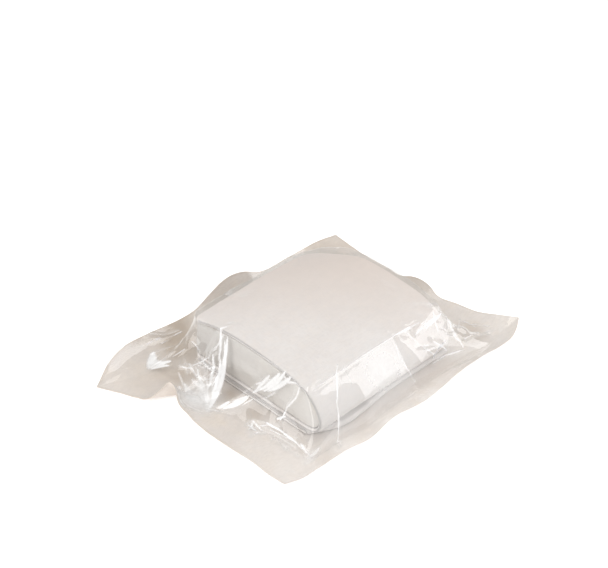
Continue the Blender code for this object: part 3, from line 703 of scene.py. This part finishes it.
def sheet_rings(columns, flange, tent, over):
    """Grid of turns and rings for a sheet, rows from the rim to nearly the middle.

    The rows are shared out between flange, tent and the part over the pad, where
    they lie closer together at the pad's edge.
    """
    turns = np.arange(columns) * 4 / columns
    foot, edge = 1 - FLANGE_SHARE / 2, 0.5
    middle = edge * (1 - np.linspace(0, 1, over + 1)[1:] ** 2.2)
    middle[-1] = 0.004
    rows = np.concatenate((np.linspace(1, foot, flange + 1), np.linspace(foot, edge, tent + 1)[1:],
                           middle))
    turns, rings = np.meshgrid(turns, rows)
    return turns, rings


def ring_faces(rows, columns):
    """Faces of a sheet whose rows are rings, with a last face over the middle."""
    faces = grid_faces(rows, columns).tolist()
    faces.append(list(range((rows - 1) * columns, rows * columns)))
    return faces


def ply_loop(count, edge):
    """Closed loop round a ply: share along its path, share through its thickness.

    The outer face, half a circle round one cut edge, the inner face back, and
    half a circle round the other cut edge.
    """
    run = np.linspace(edge, 1 - edge, count)
    turn = np.linspace(-np.pi / 2, np.pi / 2, 7)[1:-1]
    along = np.concatenate((run, 1 - edge + edge * np.cos(turn), run[::-1], edge - edge * np.cos(turn)))
    through = np.concatenate((0 * run, 0.5 + 0.5 * np.sin(turn), 0 * run + 1, 0.5 - 0.5 * np.sin(turn)))
    return along, through


def ply_stations(count, rounding, half_length):
    """Stations along X from -1 to 1, and how thick the ply still is at each.

    The last rounding of the length follows a quarter circle, so that the cut
    edge is soft.
    """
    share = rounding / half_length
    inner = np.sin(np.linspace(-1, 1, count) * np.pi / 2) * 0.6 + np.linspace(-1, 1, count) * 0.4
    angle = np.radians((22, 42, 58, 70, 80))
    low = -(1 - share + share * np.sin(angle))[::-1]
    along = np.concatenate((low, inner * (1 - share), -low[::-1]))
    thick = np.concatenate((np.cos(angle)[::-1], np.ones(count), np.cos(angle)))
    return along, thick


def cut_edge(thick, through):
    """1 on the outer rounding of a ply's cut ends, falling to 0 through its thickness."""
    return np.clip((1 - thick) / 0.3, 0, 1)[:, None] * np.clip(1 - 2.5 * through[None, :], 0, 1)


def ply_faces(stations, count):
    """Faces of a closed ply: its rings, and a strip across it at either end."""
    size = 2 * count + 10
    rings = grid_faces(stations, size)
    one = np.concatenate(([size - 3], [size - 2, size - 1], np.arange(count), [count, count + 1],
                          [count + 2]))
    two = np.concatenate(([size - 3], [size - 4, size - 5], np.arange(2 * count + 4, count + 4, -1),
                          [count + 4, count + 3], [count + 2]))
    strip = np.stack((one[:-1], two[:-1], two[1:], one[1:]), -1)
    far = strip[:, ::-1] + (stations - 1) * size
    return [tuple(dict.fromkeys(face)) for face in np.concatenate((rings, strip, far)).tolist()]


# Materials

def feed(tree, socket, value):
    """Link a socket to another node's output, or set its value."""
    if isinstance(value, bpy.types.NodeSocket):
        tree.links.new(value, socket)
    else:
        socket.default_value = value


def node_of(tree, kind, settings=None, **inputs):
    """Shader node with settings by attribute and inputs by socket name."""
    node = tree.nodes.new(kind)
    for key, value in (settings or {}).items():
        setattr(node, key, value)
    for key, value in inputs.items():
        feed(tree, node.inputs[key.replace("_", " ")], value)
    return node


def stored(tree, name):
    """Value of one of the piece's point attributes."""
    return node_of(tree, "ShaderNodeAttribute", {"attribute_name": name}).outputs["Fac"]


def remap(tree, value, low=0.0, high=1.0, to_low=0.0, to_high=1.0):
    """Value carried from one range to another and held at its ends."""
    return node_of(tree, "ShaderNodeMapRange", Value=value, From_Min=low, From_Max=high,
                   To_Min=to_low, To_Max=to_high).outputs["Result"]


def math_of(tree, operation, first, second, clamp=False):
    """Result of an operation on two values."""
    node = node_of(tree, "ShaderNodeMath", {"operation": operation, "use_clamp": clamp})
    feed(tree, node.inputs[0], first)
    feed(tree, node.inputs[1], second)
    return node.outputs[0]


def dimmed(color, share):
    """Colour with its channels times a share, or times a share each."""
    return tuple(np.multiply(color, share))


def start_material(name):
    """Empty node material with an output and the piece's own coordinates."""
    material = bpy.data.materials.new(name)
    material.use_nodes = True
    tree = material.node_tree
    tree.nodes.clear()
    output = tree.nodes.new("ShaderNodeOutputMaterial")
    place = tree.nodes.new("ShaderNodeTexCoord").outputs["Object"]
    return material, tree, output, place


def noise(tree, place, scale, detail=4.0, rough=0.55, stretch=None):
    """Noise value, its pattern stretched by scaling the coordinates."""
    if stretch is not None:
        place = node_of(tree, "ShaderNodeMapping", Vector=place, Scale=stretch).outputs["Vector"]
    return node_of(tree, "ShaderNodeTexNoise", Vector=place, Scale=scale, Detail=detail,
                   Roughness=rough).outputs["Fac"]


def ramp(tree, value, stops):
    """Colour ramp from (position, colour) stops."""
    node = node_of(tree, "ShaderNodeValToRGB", Fac=value)
    elements = node.color_ramp.elements
    while len(elements) < len(stops):
        elements.new(0.5)
    for element, (position, color) in zip(elements, stops):
        element.position = position
        element.color = (*color[:3], 1.0)
    return node.outputs["Color"]


def sum_of(tree, first, second, share):
    """first + share * second."""
    return math_of(tree, "ADD", first, math_of(tree, "MULTIPLY", second, share))


def tint(tree, color, other, factor):
    """Two colours mixed by a factor."""
    mix = tree.nodes.new("ShaderNodeMix")
    mix.data_type = "RGBA"
    tree.links.new(factor, mix.inputs["Factor"])
    for socket, value in ((mix.inputs["A"], color), (mix.inputs["B"], other)):
        feed(tree, socket, value if isinstance(value, bpy.types.NodeSocket) else (*value[:3], 1.0))
    return mix.outputs["Result"]


def matte(tree, output, tone, relief, strength, distance, **inputs):
    """Matte surface of a tone with a bump, its other inputs by socket name."""
    bump = node_of(tree, "ShaderNodeBump", Height=relief, Strength=strength, Distance=distance)
    shader = node_of(tree, "ShaderNodeBsdfPrincipled", Base_Color=tone,
                     Normal=bump.outputs["Normal"], **inputs)
    tree.links.new(shader.outputs["BSDF"], output.inputs["Surface"])


def nonwoven(name, color, shade, warm):
    """Soft nonwoven: crossed fibres in the bump, mottled in brightness and warmth."""
    material, tree, output, place = start_material(name)
    cloudy = noise(tree, place, 38.0, 3.0, 0.5)
    mottle = noise(tree, place, 260.0, 4.0, 0.6)
    fibre_x = noise(tree, place, 1500.0, 2.0, 0.6, (0.10, 1.0, 1.0))
    fibre_y = noise(tree, place, 1500.0, 2.0, 0.6, (1.0, 0.12, 1.0))
    fibres = math_of(tree, "MAXIMUM", fibre_x, fibre_y)
    tone = ramp(tree, cloudy, ((0.32, shade), (0.66, color)))
    tone = tint(tree, tone, warm, remap(tree, mottle, 0.42, 0.74, to_high=0.80))
    tone = tint(tree, tone, dimmed(shade, 0.72), remap(tree, fibres, 0.35, 0.62, 0.32, 0.0))
    # Painted shade from the tone attribute: darker and warmer towards the back of the wrap.
    tone = tint(tree, tone, dimmed(warm, (0.87, 0.82, 0.79)), stored(tree, "tone"))
    # Painted shade from the edge attribute: dark along cut edges and under the nose.
    tone = tint(tree, tone, dimmed(shade, 0.45), stored(tree, "edge"))
    matte(tree, output, tone, sum_of(tree, fibres, mottle, 0.8), 0.45, 0.00035, Roughness=0.88,
          Sheen_Weight=0.12, Sheen_Roughness=0.6, Specular_IOR_Level=0.25)
    return material


def fluff(name, color, shade, warm):
    """Pressed absorbent fluff: soft clouds of tone, small lumps and loose fibres."""
    material, tree, output, place = start_material(name)
    cloudy = noise(tree, place, 60.0, 3.0, 0.55)
    lumps = node_of(tree, "ShaderNodeTexVoronoi", {"feature": "SMOOTH_F1"}, Vector=place, Scale=420.0)
    fibres = noise(tree, place, 1300.0, 3.0, 0.65, (1.0, 0.25, 1.0))
    tone = ramp(tree, cloudy, ((0.30, shade), (0.52, color), (0.72, warm)))
    hollow = lumps.outputs["Distance"]
    tone = tint(tree, tone, dimmed(shade, 0.8), remap(tree, hollow, to_high=0.25))
    # Painted shade from the tone attribute: darker towards the back of the core.
    tone = tint(tree, tone, dimmed(shade, 0.84), stored(tree, "tone"))
    matte(tree, output, tone, sum_of(tree, hollow, fibres, 0.7), 0.4, 0.0004, Roughness=0.95,
          Specular_IOR_Level=0.15, Sheen_Weight=0.15)
    return material


def medical_paper(name, color, shade, warm):
    """Medical paper: peach and straw clouds, long fibres, a matte calendered face."""
    material, tree, output, place = start_material(name)
    cloudy = noise(tree, place, 26.0, 4.0, 0.55)
    patch = noise(tree, place, 75.0, 3.0, 0.6)
    fibres = noise(tree, place, 900.0, 4.0, 0.7, (0.3, 1.0, 1.0))
    tone = ramp(tree, cloudy, ((0.34, shade), (0.56, color), (0.70, warm)))
    # The piece's tone attribute carries painted shade (towards the darker colour) and painted light
    # (towards the pale colour).
    placed = stored(tree, "tone")
    tone = tint(tree, tone, dimmed(shade, (0.74, 0.68, 0.60)), remap(tree, placed))
    tone = tint(tree, tone, (0.90, 0.865, 0.835), remap(tree, placed, 0.0, -1.0))
    tone = tint(tree, tone, warm, remap(tree, patch, 0.5, 0.75, to_high=0.5))
    tone = tint(tree, tone, dimmed(shade, 0.7), remap(tree, fibres, 0.3, 0.6, 0.25, 0.0))
    matte(tree, output, tone, sum_of(tree, fibres, patch, 1.2), 0.3, 0.0002,
          Roughness=remap(tree, patch, to_low=0.55, to_high=0.8), Specular_IOR_Level=0.3)
    return material


def clear_film(name, color, haze, gloss):
    """Clear film: see-through, glossy by Fresnel, whitened where it is creased.

    Its body is a thin share of haze, raised to white by whitening along sharp creases
    with a painted highlight along the pad's front top edge, and by painted highlights
    where the film shows glare; it turns to a dark line by painted shade along folds.
    Fine wrinkles, the roughness and the strokes' uneven white come from noise.
    """
    material, tree, output, place = start_material(name)
    wrinkles = noise(tree, place, 240.0, 3.0, 0.5, (1.0, 1.0, 0.5))
    fine = node_of(tree, "ShaderNodeTexVoronoi", {"feature": "F1"}, Vector=place, Scale=170.0)
    relief = sum_of(tree, wrinkles, fine.outputs["Distance"], 0.5)
    bump = node_of(tree, "ShaderNodeBump", Height=relief, Strength=0.10,
                   Distance=0.0005).outputs["Normal"]
    cloud = noise(tree, place, 90.0, 3.0, 0.6)
    veil = remap(tree, cloud, 0.35, 0.75, haze * 0.6, haze * 1.6)
    # Whitening along sharp creases, with a painted highlight along the pad's front top edge.
    veil = sum_of(tree, veil, stored(tree, "crease_white_and_highlight"), 0.30)
    torn = remap(tree, noise(tree, place, 420.0, 3.0, 0.7), 0.30, 0.60, to_low=0.86)
    # Painted highlights where the film shows glare.
    veil = sum_of(tree, veil, math_of(tree, "MULTIPLY", stored(tree, "painted_highlight"), torn), 1.0)
    # Painted shade: dark lines along folds, which also darken the body colour.
    painted_fold_shade = stored(tree, "painted_fold_shade")
    veil = sum_of(tree, veil, painted_fold_shade, 1.0)
    clear = node_of(tree, "ShaderNodeBsdfTransparent", Color=(0.985, 0.982, 0.975, 1.0))
    body = node_of(tree, "ShaderNodeBsdfPrincipled", Roughness=0.5, Normal=bump,
                   Base_Color=tint(tree, color, (0.10, 0.10, 0.12), painted_fold_shade))
    milky = node_of(tree, "ShaderNodeMixShader", Fac=veil)
    tree.links.new(clear.outputs["BSDF"], milky.inputs[1])
    tree.links.new(body.outputs["BSDF"], milky.inputs[2])
    shine = node_of(tree, "ShaderNodeBsdfAnisotropic", Color=(1.0, 1.0, 1.0, 1.0), Normal=bump,
                    Roughness=remap(tree, wrinkles, to_low=0.03, to_high=0.12))
    facing = node_of(tree, "ShaderNodeFresnel", IOR=1.48, Normal=bump).outputs["Fac"]
    strength = math_of(tree, "MULTIPLY", facing, gloss, clamp=True)
    mixed = node_of(tree, "ShaderNodeMixShader", Fac=math_of(tree, "MINIMUM", strength, 0.30))
    tree.links.new(milky.outputs["Shader"], mixed.inputs[1])
    tree.links.new(shine.outputs["BSDF"], mixed.inputs[2])
    tree.links.new(mixed.outputs["Shader"], output.inputs["Surface"])
    return material


def floor_paint(name, color, glow):
    """Pale matte floor with a barely seen mottle, lit a little from below like a light table."""
    material, tree, output, place = start_material(name)
    tone = ramp(tree, noise(tree, place, 9.0, 3.0, 0.5),
                ((0.3, dimmed(color, 0.985)), (0.7, color)))
    shader = node_of(tree, "ShaderNodeBsdfPrincipled", Base_Color=tone, Roughness=0.9)
    shader.inputs["Specular IOR Level"].default_value = 0.1
    shader.inputs["Emission Color"].default_value = (1.0, 1.0, 1.0, 1.0)
    shader.inputs["Emission Strength"].default_value = glow
    tree.links.new(shader.outputs["BSDF"], output.inputs["Surface"])
    return material


# Properties

def length_property(label, text, value):
    """Length in metres with its label and tooltip."""
    return FloatProperty(name=label, description=text, default=value, min=0.0, precision=4,
                         unit="LENGTH", subtype="DISTANCE")


def color_property(label, text, value):
    """Linear colour with its label and tooltip."""
    return FloatVectorProperty(name=label, description=text, default=value, min=0.0, max=1.0,
                               subtype="COLOR", size=3)


class PadSettings(bpy.types.PropertyGroup):
    """Sizes and colours of the folded pad."""

    length: length_property("Length", "Folded pad along X", 0.120)
    width: length_property("Width", "Folded pad across, out to the front nose", 0.118)
    thickness: length_property("Thickness", "Wrapped core without the tail", 0.0350)
    crown: length_property("Crown", "How much higher the middle is than the ends", 0.0012)
    end_lean: length_property("End lean", "How far the left end's foot reaches out", 0.0030)
    droop: length_property("Corner droop", "Sag of the soft back right corner", 0.0060)
    corner: length_property("Corner radius", "Plan radius of the crisp corners", 0.0055)
    cut_corner: length_property("Cut corner radius", "Where the cut edge meets the front nose", 0.0010)
    soft_corner: length_property("Soft corner radius", "Plan radius of the soft corner", 0.0240)
    floor: length_property("Floor", "Height of the wrap's underside", float(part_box("outer_wrap")[0][2]))
    wrap_ply: length_property("Wrap ply", "Thickness of the outer wrap", 0.0026)
    core_ease: length_property("Core ease", "Air between core and wrap", 0.0008)
    core_recess: length_property("Core recess", "Core's end, back from the wrap's edge", 0.0012)
    tail_ply: length_property("Tail ply", "Thickness of one ply of the tail", 0.0018)
    tail_slit: length_property("Tail slit", "Air between the tail's two plies", 0.0008)
    tail_floor: length_property("Tail floor", "Height of the tail's underside", 0.0007)
    wrap_color: color_property("Wrap", "Nonwoven of the wrap", (0.830, 0.800, 0.785))
    wrap_shade: color_property("Wrap shade", "Its darker clouds", (0.790, 0.750, 0.730))
    wrap_warm: color_property("Wrap warmth", "Its warmer mottle", (0.830, 0.775, 0.735))
    core_color: color_property("Core", "Fluff of the core", (0.690, 0.660, 0.625))
    core_shade: color_property("Core shade", "Its darker clouds", (0.655, 0.622, 0.590))
    core_warm: color_property("Core warmth", "Its warmer clouds", (0.700, 0.655, 0.600))


class PouchSettings(bpy.types.PropertyGroup):
    """Sizes and colours of the pouch's paper and film."""

    film_ease: length_property("Film ease", "Film's distance from the pad's top", 0.0010)
    side_ease: length_property("Side ease", "Film's distance from the pad's sides", 0.0020)
    paper: length_property("Paper", "Thickness of the paper", 0.0004)
    seal_gap: length_property("Seal gap", "Film's height over the paper", 0.0003)
    flange_left: length_property("Left flange", "Flange beside the left end", 0.044)
    flange_right: length_property("Right flange", "Flange beside the right end", 0.041)
    flange_front: length_property("Front flange", "Flange before the nose", 0.010)
    flange_back: length_property("Back flange", "Flange behind the pad", 0.028)
    edge_wander: length_property("Edge wander", "Unit of the cut edge's inset", 0.010)
    edge_lift: length_property("Edge lift", "Unit of the cut edge's curl", 0.010)
    flange_wave: length_property("Flange wave", "Height of the flange's ripples", 0.0005)
    crumple: length_property("Crumple", "Unit of the film's facets", 0.0010)
    film_columns: IntProperty(name="Film columns", description="Cells round the film's rim",
                              default=900, min=80, max=920, step=4)
    paper_columns: IntProperty(name="Paper columns", description="Cells round the paper's rim",
                               default=640, min=80, max=760, step=4)
    paper_color: color_property("Paper", "Medical paper", (0.830, 0.780, 0.745))
    paper_shade: color_property("Paper shade", "Its darker clouds", (0.760, 0.695, 0.640))
    paper_warm: color_property("Paper warmth", "Its peach and straw clouds", (0.850, 0.775, 0.700))
    film_color: color_property("Film haze", "White of the creased film", (0.93, 0.93, 0.93))
    haze: FloatProperty(name="Haze", description="Share of the film that is milky", default=0.04,
                        min=0.0, max=1.0, subtype="FACTOR")
    gloss: FloatProperty(name="Gloss", description="Strength of the film's shine", default=1.8,
                         min=0.0, max=6.0)


class StageSettings(bpy.types.PropertyGroup):
    """Floor, light and camera."""

    floor_color: color_property("Floor", "Pale floor", (0.93, 0.93, 0.93))
    glow: FloatProperty(name="Glow", description="Light of the light table", default=0.35, min=0.0,
                        max=5.0)
    ambient: FloatProperty(name="Ambient", description="Strength of the even light", default=0.655,
                           min=0.0, max=5.0)
    key: FloatProperty(name="Key", description="Power of the tall softbox at the right", default=6.6,
                       min=0.0, max=200.0, unit="POWER")
    top: FloatProperty(name="Top", description="Power of the overhead softbox", default=5.0, min=0.0,
                       max=200.0, unit="POWER")
    side: FloatProperty(name="Side", description="Power of the tall softbox at the left", default=9.0,
                        min=0.0, max=200.0, unit="POWER")


# Operators

class DRESSING_OT_backing_paper(bpy.types.Operator):
    """Add the pouch's paper back, curling at its cut edge"""

    bl_idname = "dressing.backing_paper"
    bl_label = "Add Paper Back"

    def execute(self, context):
        pad, pouch = context.scene.dressing_pad, context.scene.dressing_pouch
        turns, ring = sheet_rings(pouch.paper_columns, 48, 4, 8)
        points = pouch_sheets(pad, pouch, turns, ring)[0]
        material = medical_paper("medical_paper", pouch.paper_color, pouch.paper_shade,
                                 pouch.paper_warm)
        paper = new_piece("paper_back", points, ring_faces(*ring.shape), material, "backing_paper")
        # Painted shade and painted light from the patches, and painted shade along the curled cut edge of
        # the paper.
        add_values(paper, "tone", paper_painted_shade_and_light(points[..., 0], points[..., 1])
                   + 0.35 * np.clip((ring - 0.985) / 0.012, 0, 1))
        ply = paper.modifiers.new("ply", "SOLIDIFY")
        ply.thickness = pouch.paper
        ply.offset = -1.0
        return {"FINISHED"}


class DRESSING_OT_folded_tail(bpy.types.Operator):
    """Add the folded tail that lies under the pad"""

    bl_idname = "dressing.folded_tail"
    bl_label = "Add Folded Tail"

    def execute(self, context):
        pad = context.scene.dressing_pad
        along, thick = ply_stations(60, pad.tail_ply / 2, pad.length / 2)
        path, through = ply_loop(90, 0.006)
        along, path = np.meshgrid(along, path, indexing="ij")
        depth = pad.tail_ply * (0.5 + (through[None, :] - 0.5) * thick[:, None])
        half_height = pad.tail_ply + pad.tail_slit / 2
        turn = 0.30
        q = 2 * path - 1
        flat = np.clip((np.abs(q) - turn) / (1 - turn), 0, 1)
        angle = np.clip(q / turn, -1, 1) * np.pi / 2
        setback = spline(TAIL_FOLD, along)[..., 0] * 0.01 + 0.0002 * ripple(along, 0 * along, 0.3, 3)
        fold = -pad.width / 2 + setback + half_height
        back = pad.width / 2 - 2 * pad.wrap_ply
        x = pad.length / 2 * along - pad.end_lean * (1 - along) / 2
        y = fold - (half_height - depth) * np.cos(angle) + (back - fold) * flat
        z = pad.tail_floor + half_height + (half_height - depth) * np.sin(angle)
        material = nonwoven("nonwoven_tail", dimmed(pad.wrap_color, 0.97),
                            dimmed(pad.wrap_shade, 0.95), pad.wrap_warm)
        tail = new_piece("tail_folded", np.stack((x, y, z), -1), ply_faces(len(thick), 90), material,
                         "folded_tail")
        # Painted shade: dark along the tail's cut edges.
        add_values(tail, "edge", 0.75 * cut_edge(thick, through))
        return {"FINISHED"}


class DRESSING_OT_outer_wrap(bpy.types.Operator):
    """Add the soft wrap that goes under the core, round its nose and over it"""

    bl_idname = "dressing.outer_wrap"
    bl_label = "Add Outer Wrap"

    def execute(self, context):
        pad = context.scene.dressing_pad
        along, thick = ply_stations(130, 0.0011, pad.length / 2)
        path, through = ply_loop(200, 0.005)
        along, path = np.meshgrid(along, path, indexing="ij")
        depth = pad.wrap_ply * (0.5 + (through[None, :] - 0.5) * thick[:, None])
        place = pad_section(pad, along, path)
        dent = pillow_dent(place[..., 0], place[..., 1]) * np.clip(place[..., 2] / 0.02 - 0.4, 0, 1)
        points = pad_section(pad, along, path, depth + dent * (1 - through[None, :]))
        material = nonwoven("nonwoven_wrap", pad.wrap_color, pad.wrap_shade, pad.wrap_warm)
        wrap = new_piece("wrap_soft", points, ply_faces(len(thick), 200), material, "outer_wrap")
        # Painted shade: dark along the wrap's cut edges, and under its nose where it meets the tail.
        here = section_shares(path)
        under = np.clip(1 - here[..., 1] / 0.10, 0, 1) * np.clip((-0.70 - here[..., 0]) / 0.12, 0, 1)
        add_values(wrap, "edge", np.maximum(0.8 * cut_edge(thick, through),
                                            0.7 * under * (through[None, :] < 0.5)))
        # Painted shade: the wrap darker and warmer the further back and right it lies, away from the
        # light.
        away = np.clip((points[..., 0] + points[..., 1] + 0.06) / 0.16, 0, 1)
        add_values(wrap, "tone", away * away * (3 - 2 * away))
        return {"FINISHED"}


class DRESSING_OT_absorbent_core(bpy.types.Operator):
    """Add the absorbent core that shows at the wrap's ends"""

    bl_idname = "dressing.absorbent_core"
    bl_label = "Add Absorbent Core"

    def execute(self, context):
        pad = context.scene.dressing_pad
        depth = pad.wrap_ply + pad.core_ease
        half = pad.length / 2
        shrink = np.concatenate((np.linspace(0.02, 0.9, 26), (0.93, 0.955, 0.975, 0.99, 1.0)))
        bevel = np.clip((shrink - 0.95) / 0.05, 0, 1)
        bevel = 1 - np.sqrt(1 - np.minimum(bevel, 0.999) ** 2)
        body = np.linspace(-1, 1, 60)[1:-1]
        end = 1 - (pad.core_recess - 0.0006 + 0.0007 * bevel - 0.0006 * (1 - shrink ** 2)) / half
        along = np.concatenate((-end, body * end[-1], end[::-1]))
        scale = np.concatenate((shrink, np.ones(len(body)), shrink[::-1]))
        u = np.concatenate((np.linspace(0, 1, 150), np.linspace(1, 0, 30)[1:-1]))
        on_back = np.arange(len(u)) >= 150
        along, u = np.meshgrid(along, u, indexing="ij")
        outline = pad_section(pad, along, u, depth)
        low, high = (pad_section(pad, along, np.full_like(u, value), depth) for value in (0.0, 1.0))
        back = low + (high - low) * u[..., None]
        back[..., 1] += 0.0006 * np.sin(np.pi * u)
        outline = np.where(on_back[None, :, None], back, outline)
        centre = outline.mean(axis=1, keepdims=True)
        points = centre + (outline - centre) * scale[:, None, None]
        points[..., 0] = outline[..., 0]
        lump = ripple(points[..., 1], points[..., 2], 0.016, 13)
        points[..., 0] += np.sign(along) * 0.00022 * lump * (scale[:, None] < 0.95)
        faces = grid_faces(*u.shape).tolist()
        last = (u.shape[0] - 1) * u.shape[1]
        faces.append(list(range(u.shape[1]))[::-1])
        faces.append(list(range(last, last + u.shape[1])))
        material = fluff("core_fluff", pad.core_color, pad.core_shade, pad.core_warm)
        core = new_piece("core_soft", points, faces, material, "absorbent_core")
        # Painted shade: the core's end darker towards the back of the pad.
        add_values(core, "tone", np.clip((points[..., 1] + 0.045) / 0.10, 0, 1))
        return {"FINISHED"}


class DRESSING_OT_clear_film(bpy.types.Operator):
    """Add the clear film, crumpled round the pad and sealed to the paper"""

    bl_idname = "dressing.clear_film"
    bl_label = "Add Clear Film"

    def execute(self, context):
        pad, pouch = context.scene.dressing_pad, context.scene.dressing_pouch
        turns, ring = sheet_rings(pouch.film_columns, 22, 64, 20)
        points, lift, climb = pouch_sheets(pad, pouch, turns, ring)[1:]
        material = clear_film("clear_film", pouch.film_color, pouch.haze, pouch.gloss)
        film = new_piece("film_clear", points, ring_faces(*ring.shape), material, "clear_film")
        # Whitening along sharp creases, and a painted highlight along the pad's front top edge.
        bend = np.clip(np.abs(lift - soften(lift, 3)) / 0.00010 - 0.20, 0, 1)
        hem = np.clip(1 - np.abs(climb - 1.0) / 0.03, 0, 1) * front_edge(turns)
        add_values(film, "crease_white_and_highlight", np.maximum(soften(bend, 1) ** 1.5, 0.8 * hem))
        # Painted highlights: strokes and patches of white where the film shows glare.
        strokes = strokes_on_film(PAINTED_HIGHLIGHT_STROKES, points, turns, climb)
        add_values(film, "painted_highlight", np.maximum(patch_share(PAINTED_HIGHLIGHT_PATCHES, turns, climb),
                                            stroke_share(strokes, turns, climb)))
        # Painted shade: dark lines along folds.
        add_values(film, "painted_fold_shade", stroke_share(PAINTED_SHADE_STROKES, turns, climb))
        return {"FINISHED"}


class DRESSING_OT_stage(bpy.types.Operator):
    """Add the floor, the soft light and the camera"""

    bl_idname = "dressing.stage"
    bl_label = "Add Stage"

    def execute(self, context):
        scene, stage = context.scene, context.scene.dressing_stage
        turn, reach = np.meshgrid(np.linspace(0, 2 * np.pi, 65)[:-1], np.linspace(0.02, 4.0, 12))
        points = np.stack((reach * np.cos(turn), reach * np.sin(turn), 0 * turn - 0.0002), -1)
        faces = grid_faces(*turn.shape).tolist() + [list(range(64))]
        mesh = bpy.data.meshes.new("floor")
        mesh.from_pydata(points.reshape(-1, 3).tolist(), [], faces)
        mesh.materials.append(floor_paint("floor_paint", stage.floor_color, stage.glow))
        floor = bpy.data.objects.new("floor", mesh)
        scene.collection.objects.link(floor)

        world = bpy.data.worlds.new("studio")
        world.use_nodes = True
        world.node_tree.nodes["Background"].inputs["Color"].default_value = (1.0, 1.0, 1.0, 1.0)
        world.node_tree.nodes["Background"].inputs["Strength"].default_value = stage.ambient
        scene.world = world

        for name, turn, reach, height, size, power, tone in (
                ("key_softbox", 321, 1.05, 0.76, (0.64, 1.50), stage.key, (0.97, 0.98, 1.0)),
                ("side_softbox", 166, 1.20, 0.90, (0.85, 1.60), stage.side, (1.0, 1.0, 1.0)),
                ("top_softbox", 225, 0.15, 1.30, (1.10, 1.10), stage.top, (1.0, 0.99, 0.97))):
            light = bpy.data.lights.new(name, "AREA")
            light.shape = "RECTANGLE"
            light.size, light.size_y = size
            light.energy, light.color = power, tone
            place = Vector((reach * np.cos(np.radians(turn)), reach * np.sin(np.radians(turn)), height))
            aim = Vector((0, 0, 0)) if height > reach else Vector((0, 0, height))
            lamp = bpy.data.objects.new(name, light)
            lamp.location = place
            lamp.rotation_mode = "QUATERNION"
            lamp.rotation_quaternion = (aim - place).to_track_quat("-Z", "Y")
            scene.collection.objects.link(lamp)

        back, eye = view_axes()[2:]
        data = bpy.data.cameras.new("camera")
        data.sensor_fit, data.sensor_width, data.lens = "HORIZONTAL", SENSOR_WIDTH, LENS
        data.clip_start, data.clip_end = 0.05, 20.0
        camera = bpy.data.objects.new("camera", data)
        camera.location = Vector(eye)
        camera.rotation_mode = "QUATERNION"
        camera.rotation_quaternion = Vector(-back).to_track_quat("-Z", "Y")
        scene.collection.objects.link(camera)
        scene.camera = camera
        scene.view_settings.view_transform = "Standard"
        scene.view_settings.look = "None"
        return {"FINISHED"}


class DRESSING_PT_panel(bpy.types.Panel):
    """Sidebar panel that lists the dressing's pieces"""

    bl_idname = "DRESSING_PT_panel"
    bl_label = "Hemostatic Dressing"
    bl_space_type = "VIEW_3D"
    bl_region_type = "UI"
    bl_category = "Dressing"

    def draw(self, context):
        for operator in BUILD_ORDER:
            self.layout.operator(operator)
        for group in ("dressing_pad", "dressing_pouch", "dressing_stage"):
            settings = getattr(context.scene, group)
            box = self.layout.box()
            for name in settings.__annotations__:
                box.prop(settings, name)


BUILD_ORDER = ("dressing.stage", "dressing.backing_paper", "dressing.folded_tail",
               "dressing.outer_wrap", "dressing.absorbent_core", "dressing.clear_film")
CLASSES = (PadSettings, PouchSettings, StageSettings, DRESSING_OT_stage,
           DRESSING_OT_backing_paper, DRESSING_OT_folded_tail, DRESSING_OT_outer_wrap,
           DRESSING_OT_absorbent_core, DRESSING_OT_clear_film, DRESSING_PT_panel)


def register():
    """Register the classes and hang the settings on the scene."""
    for cls in CLASSES:
        bpy.utils.register_class(cls)
    bpy.types.Scene.dressing_pad = PointerProperty(type=PadSettings)
    bpy.types.Scene.dressing_pouch = PointerProperty(type=PouchSettings)
    bpy.types.Scene.dressing_stage = PointerProperty(type=StageSettings)


def unregister():
    """Take the settings and the classes away again."""
    del bpy.types.Scene.dressing_stage, bpy.types.Scene.dressing_pouch, bpy.types.Scene.dressing_pad
    for cls in reversed(CLASSES):
        bpy.utils.unregister_class(cls)


def main():
    """Build every piece in order."""
    register()
    for name in BUILD_ORDER:
        group, operator = name.split(".")
        result = getattr(getattr(bpy.ops, group), operator)()
        if result != {"FINISHED"}:
            raise RuntimeError(f"{name} didn't finish")


if __name__ == "__main__":
    main()
